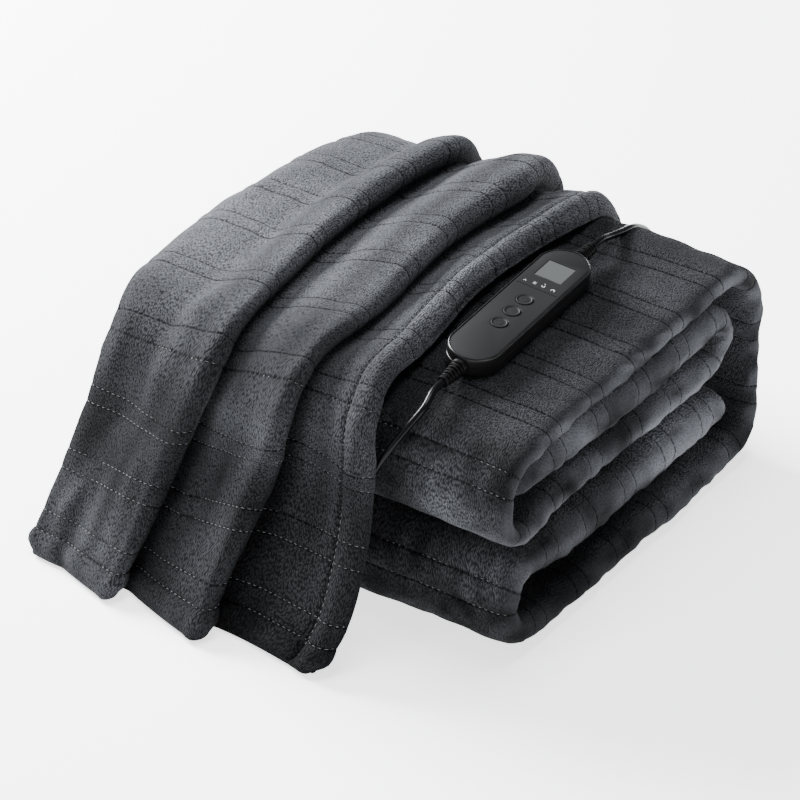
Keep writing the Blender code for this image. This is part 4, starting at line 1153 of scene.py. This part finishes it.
# the underside is painted in shade, at 0.4
drape_painted_light = np.concatenate([drape_painted_light, right_painted_light, np.full_like(drape_painted_light, 0.4), left_painted_light], axis=1)
drape_values = {
    "row_dent": near(drape_steps, drape_rows)[:, None], "hem_dent": hem_dent,
    "tone_and_painted_light": np.concatenate([drape_painted_light[:1]] * 3 + [drape_painted_light]), "velvet": 0.0,
}
drape_mesh = grid_mesh("draped_end", drape_rings, drape_girth, drape_steps, drape_values)
drape = link_object("draped_end", drape_mesh, charcoal_plush)
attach(drape, "throw")
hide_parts("blanket")


# ---- the stitching --------------------------------------------------------------------------------
# Lockstitch in grey polyester thread, 4.6 mm to a stitch. On the hanging cloth each stitch lies open on
# the surface; where the pile stands up, on the tops, it sinks in between the tufts.
THREAD, STITCH_LONG = 0.55, 3.0
SUNK = 0.45                 # how deep the stitches lie where the pile stands up

# spun polyester thread: pale grey and matt, so the stitches read as a dotted line on the dark pile
grey_thread, thread_tree, _ = new_material("grey_polyester_thread", "626468", 0.7, Sheen_Weight=0.2)
add_grain(thread_tree, 900.0, 0.3, 0.2 * MM)

stitch_mesh = bpy.data.meshes.new("one_stitch")
stitch_corners = [(-0.5, 0, 0), (0, 0.5, 0), (0, 0, 0.5), (0, -0.5, 0), (0, 0, -0.5), (0.5, 0, 0)]
stitch_faces = [(0, 2, 1), (0, 3, 2), (0, 4, 3), (0, 1, 4), (5, 1, 2), (5, 2, 3), (5, 3, 4), (5, 4, 1)]
stitch_mesh.from_pydata(stitch_corners, [], stitch_faces)
one_stitch = link_object("one_stitch", stitch_mesh)

sewing = bpy.data.node_groups.new("sewing", "GeometryNodeTree")
sewing_inputs = {}
for name, kind, value in (
    ("Seams", "NodeSocketGeometry", None),
    ("Spacing", "NodeSocketFloat", MM * STITCH),
    ("Long", "NodeSocketFloat", MM * STITCH_LONG),
    ("Thread", "NodeSocketFloat", MM * THREAD),
):
    sewing_inputs[name] = sewing.interface.new_socket(name, in_out="INPUT", socket_type=kind)
    if value:
        sewing_inputs[name].default_value = value
sewing.interface.new_socket("Stitches", in_out="OUTPUT", socket_type="NodeSocketGeometry")
given = add_node(sewing, "NodeGroupInput").outputs
seam_curves = add_node(sewing, "GeometryNodeMeshToCurve", [("Mesh", given["Seams"])])
spaced = add_node(sewing, "GeometryNodeResampleCurve",
                  [("Curve", seam_curves.outputs["Curve"]), ("Length", given["Spacing"])], mode="LENGTH")
heading = add_node(sewing, "GeometryNodeInputTangent").outputs["Tangent"]
turned = add_node(sewing, "FunctionNodeAlignRotationToVector", [("Vector", heading)], axis="X")
pattern_stitch = add_node(sewing, "GeometryNodeObjectInfo")
pattern_stitch.inputs["Object"].default_value = one_stitch
size_of = add_node(sewing, "ShaderNodeCombineXYZ",
                   [("X", given["Long"]), ("Y", given["Thread"]), ("Z", given["Thread"])])
laid = add_node(sewing, "GeometryNodeInstanceOnPoints", [
    ("Points", spaced.outputs["Curve"]), ("Instance", pattern_stitch.outputs["Geometry"]),
    ("Rotation", turned.outputs["Rotation"]), ("Scale", size_of.outputs["Vector"]),
])
real = add_node(sewing, "GeometryNodeRealizeInstances", [("Geometry", laid.outputs["Instances"])])
dyed = add_node(sewing, "GeometryNodeSetMaterial", [("Geometry", real.outputs["Geometry"])])
dyed.inputs["Material"].default_value = grey_thread
add_node(sewing, "NodeGroupOutput", [("Stitches", dyed.outputs["Geometry"])])


def sew(name, seams):
    """Stitches along lines of points in millimetres, as a plain mesh."""
    corners, edges = [], []
    for line in seams:
        edges += [(len(corners) + k, len(corners) + k + 1) for k in range(len(line) - 1)]
        corners += [tuple(MM * np.array(point)) for point in line]
    guide_mesh = bpy.data.meshes.new(name + "_guide")
    guide_mesh.from_pydata(corners, edges, [])
    guide = link_object(name + "_guide", guide_mesh)
    modifier = guide.modifiers.new("sewing", "NODES")
    modifier.node_group = sewing
    modifier[sewing_inputs["Thread"].identifier] = MM * THREAD
    done = bpy.data.meshes.new_from_object(guide.evaluated_get(bpy.context.evaluated_depsgraph_get()))
    bpy.data.objects.remove(guide)
    stitches = link_object(name, done)
    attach(stitches, "throw")
    return stitches


drape_seams = []
for place in drape_rows:
    ring = np.argmin(np.abs(drape_places - place))
    shown = 0.12 + 0.4 * ripple(place, mean_across[0], 70.0, 45.0, 41)
    lift = hang_of[ring] * np.clip(shown, -0.35, 0.4) - SUNK * (1 - hang_of[ring])
    drape_seams.append(upper[ring] + outward[ring] * lift[:, None])
hem_lift = 0.35 * hang_of[2:] - SUNK * (1 - hang_of[2:])
drape_seams.append(upper[2:, hem_column] + outward[2:, hem_column] * hem_lift[:, None])
sew("drape_stitches", drape_seams)

OUTER_SECTION = (11, 35)    # from the upper front roll to the lower one, over the outside of the block
outer_from, outer_to = [strip_along[np.argmin(np.hypot(*(strip_line[:, :2] - STRIP_SECTION[k][:2]).T))]
                        for k in OUTER_SECTION]
face_columns = len(edge_run) * 2 + len(middle_run)
nose_columns = np.arange(face_columns - 7, face_columns + NOSE_STEPS + 6)
block_seams = []
for place in strip_rows:
    spot = np.argmin(np.abs(all_places - place))
    ring, out = all_rings[spot], strip_out[spot]
    shown = np.clip((-out[:, 1] - 0.4) / 0.3, 0, 1) * (ring[:, 1] < FRONT_Y)
    shown = shown * (0.55 + 0.4 * ripple(place, ring[:, 0], 60.0, 45.0, 43))
    ring = ring + out * (0.75 * shown - 0.5)[:, None]
    first = 0 if outer_from < place < outer_to else nose_columns[0]
    block_seams.append(ring[first : nose_columns[-1]])
sew("block_stitches", block_seams)
bpy.data.objects.remove(one_stitch)
